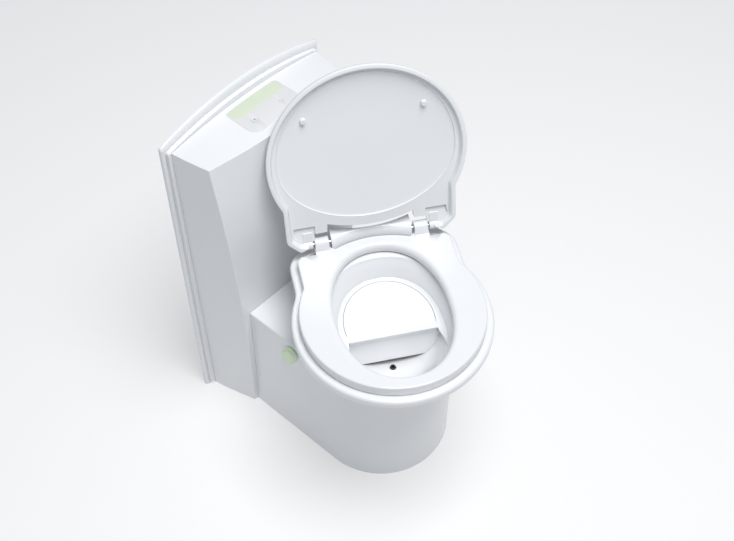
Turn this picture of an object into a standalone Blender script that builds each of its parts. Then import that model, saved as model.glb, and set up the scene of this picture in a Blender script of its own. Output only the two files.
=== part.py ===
"""Cassette toilet with a swivelling bowl, for a caravan.

Metres, +Z up. The origin is on the floor, on the bowl's swivel axis. +Y points at the wall that the toilet
stands against, and -Y at the user. The bowl, seat and lid are modelled facing -Y, and an empty turns them to
the rest position.
"""

import math

import bmesh
import bpy
from mathutils import Vector

# ---------------------------------------------------------------- driving dimensions
WALL = 0.004  # shell thickness
GAP = 0.0004  # between pieces that rest on each other
REST_TURN = math.radians(-35.6)  # the bowl is turned to its left-hand stop
LID_OPEN = math.radians(-104)
ROUND = 48  # points round a large ring

WALL_Y = 0.357  # the plane that meets the wall
FLANGE_HALF = 0.203
FLANGE_CORNER_Z = 0.746
FLANGE_RISE = 0.027  # how far the arched top stands over its corners
FLANGE_STEP = 0.008  # thickness of each of the flange's two steps
FLANGE_LIFT = 0.004  # how much higher the rear plate stands, and arches

HOUSING_REAR_Y = WALL_Y - 2 * FLANGE_STEP - GAP
HOUSING_TOP_Z = 0.738
HOUSING_CROWN = 0.016
FRONT_MID_Y = 0.226  # front face of the housing on the centre line
FRONT_CORNER_Y = 0.229  # where its front corners come furthest forward
FRONT_CORNER_Z = 0.28
FRONT_LEAN = 0.138  # how fast the corners fall back above and below, per metre
BUTTON_XY = (-0.038, 0.279)
LAMP_XY = (0.030, 0.279)

DECK_Z = 0.325  # top of the pedestal
PEDESTAL_HALF = 0.149
PEDESTAL_REAR_Y = 0.245
TRACK_HOLE = 0.118  # hole in the deck for the swivel

RIM_Z = 0.475
RIM_R = 0.1904
RIM_CENTRE_Y = -0.0834
RIM_SKIRT = 0.016
SEAT_BOTTOM_Z = 0.4785
SEAT_TOP_Z = 0.4985
SEAT_R = 0.1755
LID_R = 0.1895
LID_BOTTOM_Z = 0.487
LID_TOP_Z = 0.518
HINGE_Y = 0.100
HINGE_Z = 0.505
HINGE_BLOCK_HALF = 0.080
HINGE_PIN_R = 0.004
SEAT_REAR_R = 0.191  # the arc that ends the seat behind, between its knuckles
SEAT_REAR_CENTRE_Y = -0.090
LID_SWEEP_R = 0.0230  # round the hinge, what the lid's rear edge needs as it turns
LID_EAR = (0.1670, 0.0800, 0.1040)  # half width, side's rear end, rear edge
OUTLET_R = 0.046
OUTLET_BOTTOM_Z = 0.2503
SHELF_PLATE_Z = 0.430
SHELF_LIP_Y = -0.093

TANK_HALF = 0.130
TANK_REAR_Y = 0.325
TANK_Z = (0.048, 0.215)
KNOB_Y = 0.115
KNOB_Z = 0.285
KNOB_HALF = (0.0165, 0.0290)  # half width and half length of its grip
KNOB_LEAN = 22  # degrees that the grip leans forward
SPINDLE_X = -0.055
PINION_R = 0.012
SPINDLE_GEAR_R = 0.018
BLADE_TURN = 60  # degrees that the spindle turns the blade
PAN_HALF = 0.1415
PAN_TOP = 0.005
LATCH_Z = 0.0145
AXLE_YZ = (-0.026, 0.0258)
WHEEL_R = 0.020
HANDLE_YZ = (0.334, 0.181)
PULL_Z = 0.105
SPOUT_XY = (0.088, 0.270)
SPOUT_Z = 0.264

# ---------------------------------------------------------------- materials
COLOURS = {
    "white_plastic": ((0.90, 0.91, 0.92), 0.25, 0.0),
    "green_plastic": ((0.62, 0.71, 0.52), 0.35, 0.0),
    "grey_panel": ((0.78, 0.77, 0.75), 0.4, 0.0),
    "dark_plastic": ((0.08, 0.08, 0.09), 0.5, 0.0),
    "tank_plastic": ((0.55, 0.57, 0.60), 0.55, 0.0),
    "rubber": ((0.05, 0.05, 0.05), 0.8, 0.0),
    "steel": ((0.65, 0.65, 0.66), 0.3, 1.0),
    "board_green": ((0.03, 0.22, 0.10), 0.5, 0.0),
    "lens": ((0.55, 0.85, 0.55), 0.1, 0.0),
}


def material(slot):
    found = bpy.data.materials.get(slot)
    if found:
        return found
    colour, roughness, metallic = COLOURS[slot]
    made = bpy.data.materials.new(slot)
    made.use_nodes = True
    shader = made.node_tree.nodes["Principled BSDF"]
    shader.inputs["Base Color"].default_value = (*colour, 1)
    shader.inputs["Roughness"].default_value = roughness
    shader.inputs["Metallic"].default_value = metallic
    return made


# ---------------------------------------------------------------- building blocks
def clear_scene():
    for obj in list(bpy.data.objects):
        bpy.data.objects.remove(obj, do_unlink=True)


def empty(name, location=(0, 0, 0), parent=None, turn=(0, 0, 0)):
    made = bpy.data.objects.new(name, None)
    bpy.context.collection.objects.link(made)
    made.location = location
    made.rotation_euler = turn
    made.parent = parent
    return made


def solid(name, bm, slot, parent=None):
    """One object from a bmesh, in triangles and with its faces turned outwards."""
    bmesh.ops.triangulate(bm, faces=bm.faces)
    bmesh.ops.recalc_face_normals(bm, faces=bm.faces)
    mesh = bpy.data.meshes.new(name)
    bm.to_mesh(mesh)
    bm.free()
    mesh.shade_smooth()
    mesh.set_sharp_from_angle(angle=math.radians(35))
    mesh.materials.append(material(slot))
    made = bpy.data.objects.new(name, mesh)
    bpy.context.collection.objects.link(made)
    made.parent = parent
    return made


def loft(name, rings, slot, parent=None, closed=False):
    """A solid through rings of equal counts: capped at both ends, or closed from last to first."""
    bm = bmesh.new()
    rows = [[bm.verts.new(point) for point in ring] for ring in rings]
    pairs = list(zip(rows, rows[1:]))
    if closed:
        pairs.append((rows[-1], rows[0]))
    for low, high in pairs:
        count = len(low)
        for i in range(count):
            j = (i + 1) % count
            bm.faces.new((low[i], low[j], high[j], high[i]))
    if not closed:
        bm.faces.new(reversed(rows[0]))
        bm.faces.new(rows[-1])
    return solid(name, bm, slot, parent)


def prism(name, outline, low, high, slot, parent=None):
    """An outline of (x, y) points, raised from z low to z high."""
    rings = [[(x, y, z) for x, y in outline] for z in (low, high)]
    return loft(name, rings, slot, parent)


def box(name, low, high, slot, parent=None, bevel=0.0):
    bm = bmesh.new()
    bmesh.ops.create_cube(bm, size=1)
    size = Vector(high) - Vector(low)
    middle = (Vector(high) + Vector(low)) / 2
    for vertex in bm.verts:
        vertex.co = Vector(c * s for c, s in zip(vertex.co, size)) + middle
    if bevel:
        bmesh.ops.bevel(
            bm, geom=bm.edges[:], offset=bevel, segments=2, affect="EDGES", profile=0.5
        )
    return solid(name, bm, slot, parent)


AXES = {
    "x": (Vector((0, 1, 0)), Vector((0, 0, 1)), Vector((1, 0, 0))),
    "y": (Vector((0, 0, 1)), Vector((1, 0, 0)), Vector((0, 1, 0))),
    "z": (Vector((1, 0, 0)), Vector((0, 1, 0)), Vector((0, 0, 1))),
}


def circle(centre, radius, along, axis="z", count=24):
    """Points round a centre, at a distance along one of the axes."""
    across, up, out = AXES[axis]
    steps = (2 * math.pi * i / count for i in range(count))
    return [
        tuple(Vector(centre) + out * along + (across * math.cos(a) + up * math.sin(a)) * radius)
        for a in steps
    ]


def turned(name, centre, profile, slot, parent=None, axis="z", count=24, closed=False):
    """A round solid from (radius, distance along the axis) pairs."""
    rings = [circle(centre, radius, along, axis, count) for radius, along in profile]
    return loft(name, rings, slot, parent, closed)


def rod(name, centre, radius, low, high, slot, parent=None, axis="z", count=16):
    return turned(name, centre, ((radius, low), (radius, high)), slot, parent, axis, count)


def sleeve(name, centre, inner, outer, low, high, slot, parent=None, axis="z", count=24):
    profile = ((inner, low), (outer, low), (outer, high), (inner, high))
    return turned(name, centre, profile, slot, parent, axis, count, closed=True)


def boolean(target, other, operation):
    """Joins or cuts another object, which then stays as a hidden helper."""
    modifier = target.modifiers.new(f"{operation} {other.name}", "BOOLEAN")
    modifier.operation = operation
    modifier.object = other
    other.hide_render = True
    other.display_type = "WIRE"
    return target


def cut(target, *others):
    for other in others:
        boolean(target, other, "DIFFERENCE")
    return target


def join(target, *others):
    for other in others:
        boolean(target, other, "UNION")
    return target


def tube(name, points, radius, slot, parent=None, resolution=2):
    """A round tube along a smooth curve through the given points."""
    curve = bpy.data.curves.new(name, "CURVE")
    curve.dimensions = "3D"
    curve.bevel_depth = radius
    curve.bevel_resolution = resolution
    curve.use_fill_caps = True
    smooth = smooth_path(points)
    spline = curve.splines.new("POLY")
    spline.points.add(len(smooth) - 1)
    for point, place in zip(spline.points, smooth):
        point.co = (*place, 1)
    curve.materials.append(material(slot))
    made = bpy.data.objects.new(name, curve)
    bpy.context.collection.objects.link(made)
    made.parent = parent
    return made


def smooth_path(points, steps=5):
    """Catmull-Rom points through the given ones."""
    ends = [Vector(p) for p in points]
    ends = [2 * ends[0] - ends[1], *ends, 2 * ends[-1] - ends[-2]]
    path = []
    for a, b, c, d in zip(ends, ends[1:], ends[2:], ends[3:]):
        for i in range(steps):
            t = i / steps
            place = 2 * b + (c - a) * t + (2 * a - 5 * b + 4 * c - d) * t**2
            path.append((place + (3 * b - a - 3 * c + d) * t**3) / 2)
    path.append(ends[-2])
    return path


# ---------------------------------------------------------------- outlines
def d_outline(half, rear_y, count=24):
    """Straight sides from rear_y to the origin's line, and a half circle in front of it."""
    arc = [
        (half * math.cos(a), half * math.sin(a))
        for a in (-math.pi * i / count for i in range(count + 1))
    ]
    return [(-half, rear_y), (half, rear_y), *arc]


def ray_to_circle(start_y, angle, centre_y, radius):
    """Distance from (0, start_y) to a circle round (0, centre_y)."""
    offset = start_y - centre_y
    along = -offset * math.sin(angle)
    return along + math.sqrt(radius**2 - (offset * math.cos(angle)) ** 2)


def ray_to_planes(start_y, angle, planes):
    """Distance from (0, start_y) to the nearest of the lines nx x + ny y = d."""
    found = []
    for nx, ny, d in planes:
        slope = nx * math.cos(angle) + ny * math.sin(angle)
        if slope > 1e-6:
            found.append((d - ny * start_y) / slope)
    return min(found)


def eared_ring(radius, half, corner_y, rear_y, z, inset=0.0, count=ROUND):
    """A circle round the rim's centre, joined to a block with cut corners behind it and ended at rear_y."""
    start_y = -0.03
    cut_d = (half + corner_y) / math.sqrt(2)
    diagonal = 1 / math.sqrt(2)
    planes = [
        (1, 0, half - inset),
        (-1, 0, half - inset),
        (0, 1, rear_y - inset),
        (0, -1, 0.06),
        (diagonal, diagonal, cut_d - inset),
        (-diagonal, diagonal, cut_d - inset),
    ]
    ring = []
    for i in range(count):
        angle = 2 * math.pi * i / count
        reach = max(
            ray_to_circle(start_y, angle, RIM_CENTRE_Y, radius - inset),
            ray_to_planes(start_y, angle, planes),
        )
        if math.sin(angle) > 0.1:
            reach = min(reach, ray_to_planes(start_y, angle, [(0, 1, rear_y - inset)]))
        ring.append((reach * math.cos(angle), start_y + reach * math.sin(angle), z))
    return ring


def egg_ring(centre_y, half, front, rear, z, count=ROUND, power=2.2):
    """An oval with its own half length in front and behind."""
    ring = []
    for i in range(count):
        angle = 2 * math.pi * i / count
        c, s = math.cos(angle), math.sin(angle)
        length = rear if s > 0 else front
        x = half * math.copysign(abs(c) ** (2 / power), c)
        y = centre_y + length * math.copysign(abs(s) ** (2 / power), s)
        ring.append((x, y, z))
    return ring


def flange_outline(half, corner_z, rise, bottom=0.0, count=16):
    """(x, z) points: straight sides and an arched top."""
    top = []
    for i in range(count + 1):
        u = 1 - 2 * i / count
        top.append((half * u, corner_z + rise * (1 - u * u)))
    return [(-half, bottom), (half, bottom), *top]


# ---------------------------------------------------------------- the fixed body
def wall_flange():
    """The two-step frame round the back of the housing, open in the middle and down to the floor."""
    rings = []
    inset = FLANGE_STEP
    outer = flange_outline(FLANGE_HALF, FLANGE_CORNER_Z + FLANGE_LIFT, FLANGE_RISE + FLANGE_LIFT)
    step = flange_outline(FLANGE_HALF - inset, FLANGE_CORNER_Z - inset, FLANGE_RISE * 0.8, bottom=0.001)
    front_y = WALL_Y - 2 * FLANGE_STEP
    for outline, y in ((step, front_y), (step, WALL_Y - inset), (outer, WALL_Y - inset), (outer, WALL_Y)):
        rings.append([(x, y, z) for x, z in outline])
    frame = loft("wall_flange", rings, "white_plastic")
    opening = box(
        "flange_opening", (-0.165, front_y - 0.01, -0.01), (0.165, WALL_Y + 0.01, 0.700), "white_plastic"
    )
    return cut(frame, opening)


def housing_point(u, y, z, inset=0.0):
    """A point of the housing at u across it, from -1 to 1, where y None is its front face."""
    corner_y = FRONT_CORNER_Y + FRONT_LEAN * (z - FRONT_CORNER_Z) ** 2
    forward = FRONT_MID_Y + (corner_y - FRONT_MID_Y) * u * u
    height = z / HOUSING_TOP_Z
    at_front = 0.158 + 0.016 * height
    at_rear = 0.184 + 0.004 * height
    place_y = forward + inset if y is None else y
    back = (place_y - forward) / (HOUSING_REAR_Y - forward)
    half = at_front + (at_rear - at_front) * min(max(back, 0), 1) - inset
    return (u * half, place_y, z)


def housing_block(name, inset, rear_y, floor_z, stations=13, levels=12):
    """The housing's outer form, or the space inside it, lofted from side to side."""
    rings = []
    for i in range(stations):
        u = -1 + 2 * i / (stations - 1)
        top = HOUSING_TOP_Z + HOUSING_CROWN * (1 - u * u) - inset
        heights = [floor_z + (top - floor_z) * k / levels for k in range(levels + 1)]
        front = [housing_point(u, None, z, inset) for z in heights]
        back = [housing_point(u, rear_y, z, inset) for z in (top, floor_z)]
        rings.append(front + back)
    return loft(name, rings, "white_plastic")


def rear_housing():
    shell = housing_block("rear_housing", 0.0, HOUSING_REAR_Y, 0.0)
    inside = housing_block("housing_inside", WALL, HOUSING_REAR_Y + 0.02, -0.02)
    passage = box("cassette_passage", (-0.1425, 0.20, -0.02), (0.1425, 0.30, 0.316), "white_plastic")
    console = prism("console_recess", console_outline(0.0005), 0.70, 0.80, "white_plastic")
    return cut(shell, inside, passage, console)


def console_outline(grow):
    """The control panel's (x, y) outline: straight behind, bowed and narrower in front."""
    half, rear, middle = 0.064 + grow, 0.329 + grow, 0.276
    count = 12
    front = [
        (half * math.cos(a), middle + (0.031 + grow) * math.sin(a))
        for a in (-math.pi * i / count for i in range(count + 1))
    ]
    return [(-half + 0.006, rear), (half - 0.006, rear), (half, rear - 0.006), *front, (-half, rear - 0.006)]


def console():
    """The control panel in the housing's top, with its band, button, lamp and circuit board."""
    top_z = HOUSING_TOP_Z + HOUSING_CROWN
    panel = prism("console_panel", console_outline(-GAP), top_z - 0.0075, top_z + 0.0008, "grey_panel")
    hole = rod("button_hole", (*BUTTON_XY, 0), 0.0075, top_z - 0.02, top_z + 0.01, "grey_panel")
    lamp_hole = rod("lamp_hole", (*LAMP_XY, 0), 0.0038, top_z - 0.02, top_z + 0.01, "grey_panel", count=12)
    band_low = top_z - 0.0012
    band_hole = box("band_hole", (-0.0614, 0.2986, band_low), (0.0614, 0.3264, top_z + 0.01), "grey_panel")
    cut(panel, hole, lamp_hole, band_hole)
    box("console_band", (-0.061, 0.299, band_low + GAP), (0.061, 0.326, top_z + 0.0016), "green_plastic")
    rod("level_lamp", (*LAMP_XY, 0), 0.0035, top_z - 0.0105, top_z + 0.0012, "lens", count=12)
    box("control_board", (-0.050, 0.250, top_z - 0.0125), (0.050, 0.318, top_z - 0.0109), "board_green")
    seat = empty("button_axis", (*BUTTON_XY, top_z))
    turned(
        "flush_button", (0, 0, 0), ((0.0070, -0.0062), (0.0070, 0.0012), (0.0060, 0.0022)), "grey_panel", seat
    )


def pedestal():
    """The front shell: straight sides, a round front and the flat deck that the bowl turns on."""
    shell = prism("pedestal_shell", d_outline(PEDESTAL_HALF, PEDESTAL_REAR_Y), 0.0, DECK_Z, "white_plastic")
    inner = d_outline(PEDESTAL_HALF - WALL, PEDESTAL_REAR_Y + 0.02)
    inside = prism("pedestal_inside", inner, -0.02, DECK_Z - WALL, "white_plastic")
    hole = rod("deck_hole", (0, 0, 0), TRACK_HOLE, DECK_Z - 0.02, DECK_Z + 0.02, "white_plastic", count=ROUND)
    knob_hole = rod(
        "knob_bore", (0, KNOB_Y, KNOB_Z), 0.0094, -PEDESTAL_HALF - 0.02, -0.13, "white_plastic", axis="x"
    )
    room = housing_block("housing_clearance", -GAP, HOUSING_REAR_Y, -0.02)
    return cut(shell, inside, hole, knob_hole, room)


def floor_pan():
    """The base plate that is screwed to the floor, with its screws and the cassette's rails."""
    plate = prism("floor_pan", d_outline(PAN_HALF, HOUSING_REAR_Y), 0.0, PAN_TOP, "dark_plastic")
    for i, (x, y) in enumerate(((-0.120, 0.300), (0.120, 0.300), (-0.115, -0.040), (0.115, -0.040)), 1):
        cut(plate, rod(f"floor_screw_hole_{i}", (x, y, 0), 0.0028, -0.01, 0.01, "dark_plastic", count=12))
        profile = ((0.0024, 0.0004), (0.0024, PAN_TOP + GAP), (0.0060, PAN_TOP + GAP), (0.0048, 0.0085))
        turned(f"floor_screw_{i}", (x, y, 0), profile, "steel", count=12)
    for side, word in ((-1, "left"), (1, "right")):
        x = sorted((side * 0.1335, side * 0.1395))
        rail = box(f"cassette_rail_{word}", (x[0], -0.02, 0.001), (x[1], 0.320, 0.0300), "dark_plastic")
        join(plate, rail)
    join(plate, box("latch_boss", (-0.008, 0.3200, 0.001), (0.008, 0.3265, 0.0225), "dark_plastic"))
    cut(plate, rod("latch_bore", (0, 0, LATCH_Z), 0.0029, 0.31, 0.33, "steel", axis="y", count=12))


def cassette_latch():
    """A turn catch behind the cassette: it lies flat at rest and turns up to hold the cassette in."""
    pivot = empty("latch_axis", (0, 0.3305, LATCH_Z))
    bar = box("cassette_latch", (-0.0070, -0.0030, -0.0055), (0.0450, 0.0030, 0.0055), "green_plastic", pivot)
    pin = rod("latch_pin", (0, 0, 0), 0.0025, -0.0100, 0.0, "green_plastic", pivot, axis="y", count=12)
    return join(bar, pin)


def swivel_track():
    """The bearing ring fixed on the deck, in which the bowl's ring turns."""
    profile = (
        (0.1120, DECK_Z - 0.0110),
        (TRACK_HOLE - GAP, DECK_Z - 0.0110),
        (TRACK_HOLE - GAP, DECK_Z + GAP),
        (0.1270, DECK_Z + GAP),
        (0.1270, DECK_Z + 0.0030),
        (0.1120, DECK_Z + 0.0030),
    )
    return turned("swivel_track", (0, 0, 0), profile, "dark_plastic", count=ROUND, closed=True)


def flush_water():
    """The flush tank with its filler cap, the pump under it, and the hose to the inlet at the deck."""
    tank = box("flush_tank", (-0.140, 0.256, 0.372), (0.140, 0.330, 0.690), "tank_plastic", bevel=0.012)
    low, high = (-0.137, 0.259, 0.375), (0.137, 0.327, 0.687)
    inside = box("flush_tank_inside", low, high, "tank_plastic", bevel=0.010)
    neck = rod("filler_neck", (-0.080, 0, 0.640), 0.0200, 0.325, 0.3420, "tank_plastic", axis="y")
    bore = rod("filler_bore", (-0.080, 0, 0.640), 0.0160, 0.310, 0.3600, "tank_plastic", axis="y")
    drop = rod("pump_bore", (0.100, 0.290, 0), 0.0100, 0.360, 0.3850, "tank_plastic")
    join(tank, neck)
    cut(tank, inside, bore, drop)
    hinge = empty("filler_cap_axis", (-0.080, 0.3425, 0.640))
    profile = ((0.0218, 0.0), (0.0218, 0.0100), (0.0200, 0.0120))
    cap = turned("filler_cap", (0, 0, 0), profile, "green_plastic", hinge, axis="y")
    bar = box("filler_grip", (-0.0170, 0.0100, -0.0028), (0.0170, 0.0142, 0.0028), "green_plastic", hinge)
    join(cap, bar)
    profile = ((0.0085, 0.3716), (0.0085, 0.3650), (0.0190, 0.3650), (0.0190, 0.3350), (0.0060, 0.3300))
    turned("flush_pump", (0.100, 0.290, 0), profile[::-1], "dark_plastic")
    route = (
        (0.100, 0.290, 0.3288),
        (0.100, 0.289, 0.3190),
        (0.096, 0.270, 0.3080),
        (0.086, 0.235, 0.3050),
        (0.070, 0.195, 0.3045),
        (0.065, 0.170, 0.3040),
        (0.065, 0.1512, 0.3040),
    )
    tube("flush_hose", route, 0.0050, "rubber")
    low, high = (0.0560, 0.1250, 0.2970), (0.0740, 0.1500, 0.3206)
    inlet = box("water_inlet", low, high, "white_plastic", bevel=0.002)
    return inlet


# ---------------------------------------------------------------- the valve drive
def bevel_gear(name, teeth, radius, mate_radius, apex, slot, parent, axis, bore, phase=0.0):
    """A bevel gear whose pitch cone has its tip at apex and opens towards minus the axis."""
    cone = math.atan2(radius, mate_radius)
    tooth = 0.0011
    rings = []
    for scale in (1.0, 0.62):
        ring = []
        for i in range(teeth * 4):
            step = i % 4
            height = tooth if step in (1, 2) else -tooth * 1.4
            width = (-0.32, -0.13, 0.13, 0.32)[step]
            angle = phase + 2 * math.pi * (i // 4 + width) / teeth
            reach = (radius + height * math.cos(cone)) * scale
            along = -(mate_radius - height * math.sin(cone)) * scale
            ring.append((reach, along, angle))
        rings.append(ring)
    across, up, out = AXES[axis]

    def place(reach, along, angle):
        side = across * math.cos(angle) + up * math.sin(angle)
        return tuple(Vector(apex) + out * along + side * reach)

    large, small = [[place(*p) for p in ring] for ring in rings]
    hub_large = [place(bore, -mate_radius, p[2]) for p in rings[0]]
    hub_small = [place(bore, -mate_radius * 0.62, p[2]) for p in rings[1]]
    return loft(name, [hub_large, large, small, hub_small], slot, parent, closed=True)


def valve_knob():
    """The knob on the pedestal's left side, its shaft and the bevel pinion that turns the spindle."""
    outside = -PEDESTAL_HALF
    place = (0, KNOB_Y, KNOB_Z)
    sleeve("knob_bush", place, 0.0054, 0.0090, outside + 0.0002, outside + 0.0080, "dark_plastic", axis="x")
    axis = empty("valve_knob_axis", (outside, KNOB_Y, KNOB_Z))
    body = loft("valve_knob", [knob_ring(s, x) for s, x in KNOB_STEPS], "green_plastic", axis)
    bore = rod("knob_shaft_bore", (0, 0, 0), 0.0054, -0.0075, 0.01, "green_plastic", axis, axis="x")
    cut(body, bore)
    inner = SPINDLE_X - outside - SPINDLE_GEAR_R
    rod("knob_shaft", (0, 0, 0), 0.0050, -0.0070, inner + 0.0060, "steel", axis, axis="x")
    apex = (SPINDLE_X - outside, 0, 0)
    phase = math.radians(-90 + 15)
    bevel_gear("knob_pinion", 12, PINION_R, SPINDLE_GEAR_R, apex, "dark_plastic", axis, "x", 0.0053, phase)


KNOB_STEPS = ((0.97, -0.0006), (1.00, -0.0020), (1.00, -0.0060), (0.86, -0.0092), (0.72, -0.0100))


def knob_ring(scale, x, count=32):
    """The knob's outline: a blunt lever, leaning forward at its top."""
    lean = math.radians(KNOB_LEAN)
    ring = []
    for i in range(count):
        a = 2 * math.pi * i / count
        c, s = math.cos(a), math.sin(a)
        across = KNOB_HALF[0] * math.copysign(abs(c) ** 0.75, c) * scale
        along = KNOB_HALF[1] * math.copysign(abs(s) ** 0.75, s) * scale
        y = across * math.cos(lean) - along * math.sin(lean)
        z = across * math.sin(lean) + along * math.cos(lean)
        ring.append((x, y, z))
    return ring


def drive_spindle():
    """The upright spindle under the deck: a gear on top and a flat tongue below, in its hanging bracket."""
    axis = empty("drive_axis", (SPINDLE_X, KNOB_Y, KNOB_Z))
    bevel_gear(
        "spindle_gear", 18, SPINDLE_GEAR_R, PINION_R, (0, 0, 0), "dark_plastic", axis, "z", 0.0043, math.pi
    )
    spindle = rod("drive_spindle", (0, 0, 0), 0.0040, -0.0340, -0.0075, "steel", axis)
    tongue = box("drive_tongue", (-0.0018, -0.0080, -0.0400), (0.0018, 0.0080, -0.0330), "steel", axis)
    join(spindle, tongue)
    x, y, z = SPINDLE_X, KNOB_Y, KNOB_Z
    low, high = (x - 0.012, y - 0.010, z - 0.0200), (x + 0.031, y + 0.0102, z - 0.0160)
    foot = box("drive_bracket", low, high, "white_plastic")
    low, high = (x + 0.021, y + 0.0062, z - 0.0190), (x + 0.0305, y + 0.0100, DECK_Z - WALL - GAP)
    leg = box("bracket_leg", low, high, "steel")
    bore = rod("bracket_bore", (x, y, 0), 0.0044, z - 0.03, z - 0.01, "steel")
    join(foot, leg)
    cut(foot, bore)


# ---------------------------------------------------------------- the bowl
def rim_ring(z, inset=0.0):
    return eared_ring(RIM_R, 0.167, 0.089, 0.136, z, inset)


BOWL_INSIDE = (  # centre y, half width, half length in front, half length behind, z
    (-0.085, 0.1220, 0.1560, 0.1500, RIM_Z),
    (-0.085, 0.1130, 0.1440, 0.1400, 0.456),
    (-0.085, 0.1010, 0.1300, 0.1305, 0.431),
    (-0.080, 0.0930, 0.1190, 0.1200, 0.405),
    (-0.070, 0.0830, 0.1080, 0.1060, 0.380),
    (-0.060, 0.0700, 0.0980, 0.0900, 0.362),
    (-0.040, 0.0580, 0.0860, 0.0800, 0.350),
    (0.0, OUTLET_R, OUTLET_R, OUTLET_R, 0.336),
    (0.0, OUTLET_R, OUTLET_R, OUTLET_R, OUTLET_BOTTOM_Z),
)


def bowl_inside_ring(station, grow=0.0, drop=0.0):
    centre, half, front, rear, z = station
    power = 2.0 if half == OUTLET_R else 2.2
    return egg_ring(centre, half + grow, front + grow, rear + grow, z - drop, power=power)


def bowl_liner(group):
    """The inner bowl with its rim, its shallow sump and the outlet pipe on the swivel axis."""
    inside = [bowl_inside_ring(s) for s in BOWL_INSIDE]
    outside = [bowl_inside_ring(s, WALL, 0.0) for s in reversed(BOWL_INSIDE[1:-3])]
    pipe = [bowl_inside_ring(s, WALL, d) for s, d in ((BOWL_INSIDE[-1], 0), (BOWL_INSIDE[-2], WALL))]
    sump = [bowl_inside_ring(BOWL_INSIDE[-3], WALL, WALL)]
    rim = [
        rim_ring(RIM_Z - WALL, WALL),
        rim_ring(RIM_Z - RIM_SKIRT, WALL),
        rim_ring(RIM_Z - RIM_SKIRT),
        rim_ring(RIM_Z - 0.002),
        rim_ring(RIM_Z, 0.002),
    ]
    top = [bowl_inside_ring((*BOWL_INSIDE[0][:4], RIM_Z - WALL), WALL)]
    rings = inside + pipe + sump + outside + top + rim
    bowl = loft("bowl_liner", rings, "white_plastic", group, closed=True)
    jet = rod("jet_bore", (-0.004, -0.110, 0), 0.0064, 0.33, 0.40, "white_plastic", group, count=12)
    return cut(bowl, jet)


def bowl_skin(group):
    """The outer skin of the bowl, from under the rim to the swivel ring."""
    levels = (  # centre y, half width, front, rear, z
        (-0.050, 0.1610, 0.2080, 0.1790, 0.4705),
        (-0.050, 0.1600, 0.2040, 0.1780, 0.4500),
        (-0.048, 0.1570, 0.1900, 0.1740, 0.4300),
        (-0.042, 0.1500, 0.1700, 0.1660, 0.4000),
        (-0.030, 0.1410, 0.1480, 0.1550, 0.3680),
        (-0.012, 0.1340, 0.1320, 0.1450, 0.3420),
        (0.0, 0.1300, 0.1300, 0.1300, 0.3295),
    )
    outer = [egg_ring(*level, power=2.3 - 0.05 * i) for i, level in enumerate(levels)]
    inner = [
        egg_ring(y, h - WALL, f - WALL, r - WALL, z, power=2.3 - 0.05 * i)
        for i, (y, h, f, r, z) in enumerate(levels)
    ]
    return loft("bowl_skin", outer + inner[::-1], "white_plastic", group, closed=True)


def swivel_ring(group):
    """The ring under the bowl, which hangs inside the track and carries the skin on its flange."""
    profile = (
        (0.1060, DECK_Z - 0.0090),
        (0.1112, DECK_Z - 0.0090),
        (0.1112, DECK_Z + 0.0036),
        (0.1250, DECK_Z + 0.0036),
        (0.1250, DECK_Z + 0.0080),
        (0.1060, DECK_Z + 0.0080),
    )
    return turned("swivel_ring", (0, 0, 0), profile, "dark_plastic", group, count=ROUND, closed=True)


APRON = ((-0.066, 0.372), (0.066, 0.372), (0.078, 0.418), (-0.078, 0.418))  # (x, z) corners


def shelf_plate(group):
    """The D-shaped plate that forms the bowl's flat shelf, with a straight lip and an apron in front."""
    count = 24
    outline = []
    for i in range(count + 1):
        a = math.pi * i / count
        outline.append((0.0880 * math.cos(a), -0.065 + 0.1045 * math.sin(a)))
    lip = [(-0.0860, SHELF_LIP_Y), (0.0860, SHELF_LIP_Y)]
    plate = prism("bowl_shelf", outline + lip, SHELF_PLATE_Z - 0.004, SHELF_PLATE_Z, "white_plastic", group)
    low, high = (-0.0855, SHELF_LIP_Y, SHELF_PLATE_Z - 0.015), (0.0855, SHELF_LIP_Y + 0.005, SHELF_PLATE_Z)
    edge = box("shelf_lip", low, high, "white_plastic", group)
    apron = [[(x, y, z) for x, z in APRON] for y in (SHELF_LIP_Y + 0.0015, SHELF_LIP_Y + 0.0045)]
    return join(plate, edge, loft("shelf_apron", apron, "white_plastic", group))


def seat_rear_y(x, clearance=0.0):
    """Where the seat ends behind, between its knuckles."""
    return SEAT_REAR_CENTRE_Y + math.sqrt((SEAT_REAR_R + clearance) ** 2 - x * x)


def seat_rear_region(half, front_y, clearance=0.0, count=16):
    """The (x, y) outline of what lies in front of the arc that ends the seat behind."""
    across = [half * (1 - 2 * i / count) for i in range(count + 1)]
    return [(-half, front_y), (half, front_y), *((x, seat_rear_y(x, clearance)) for x in across)]


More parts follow.
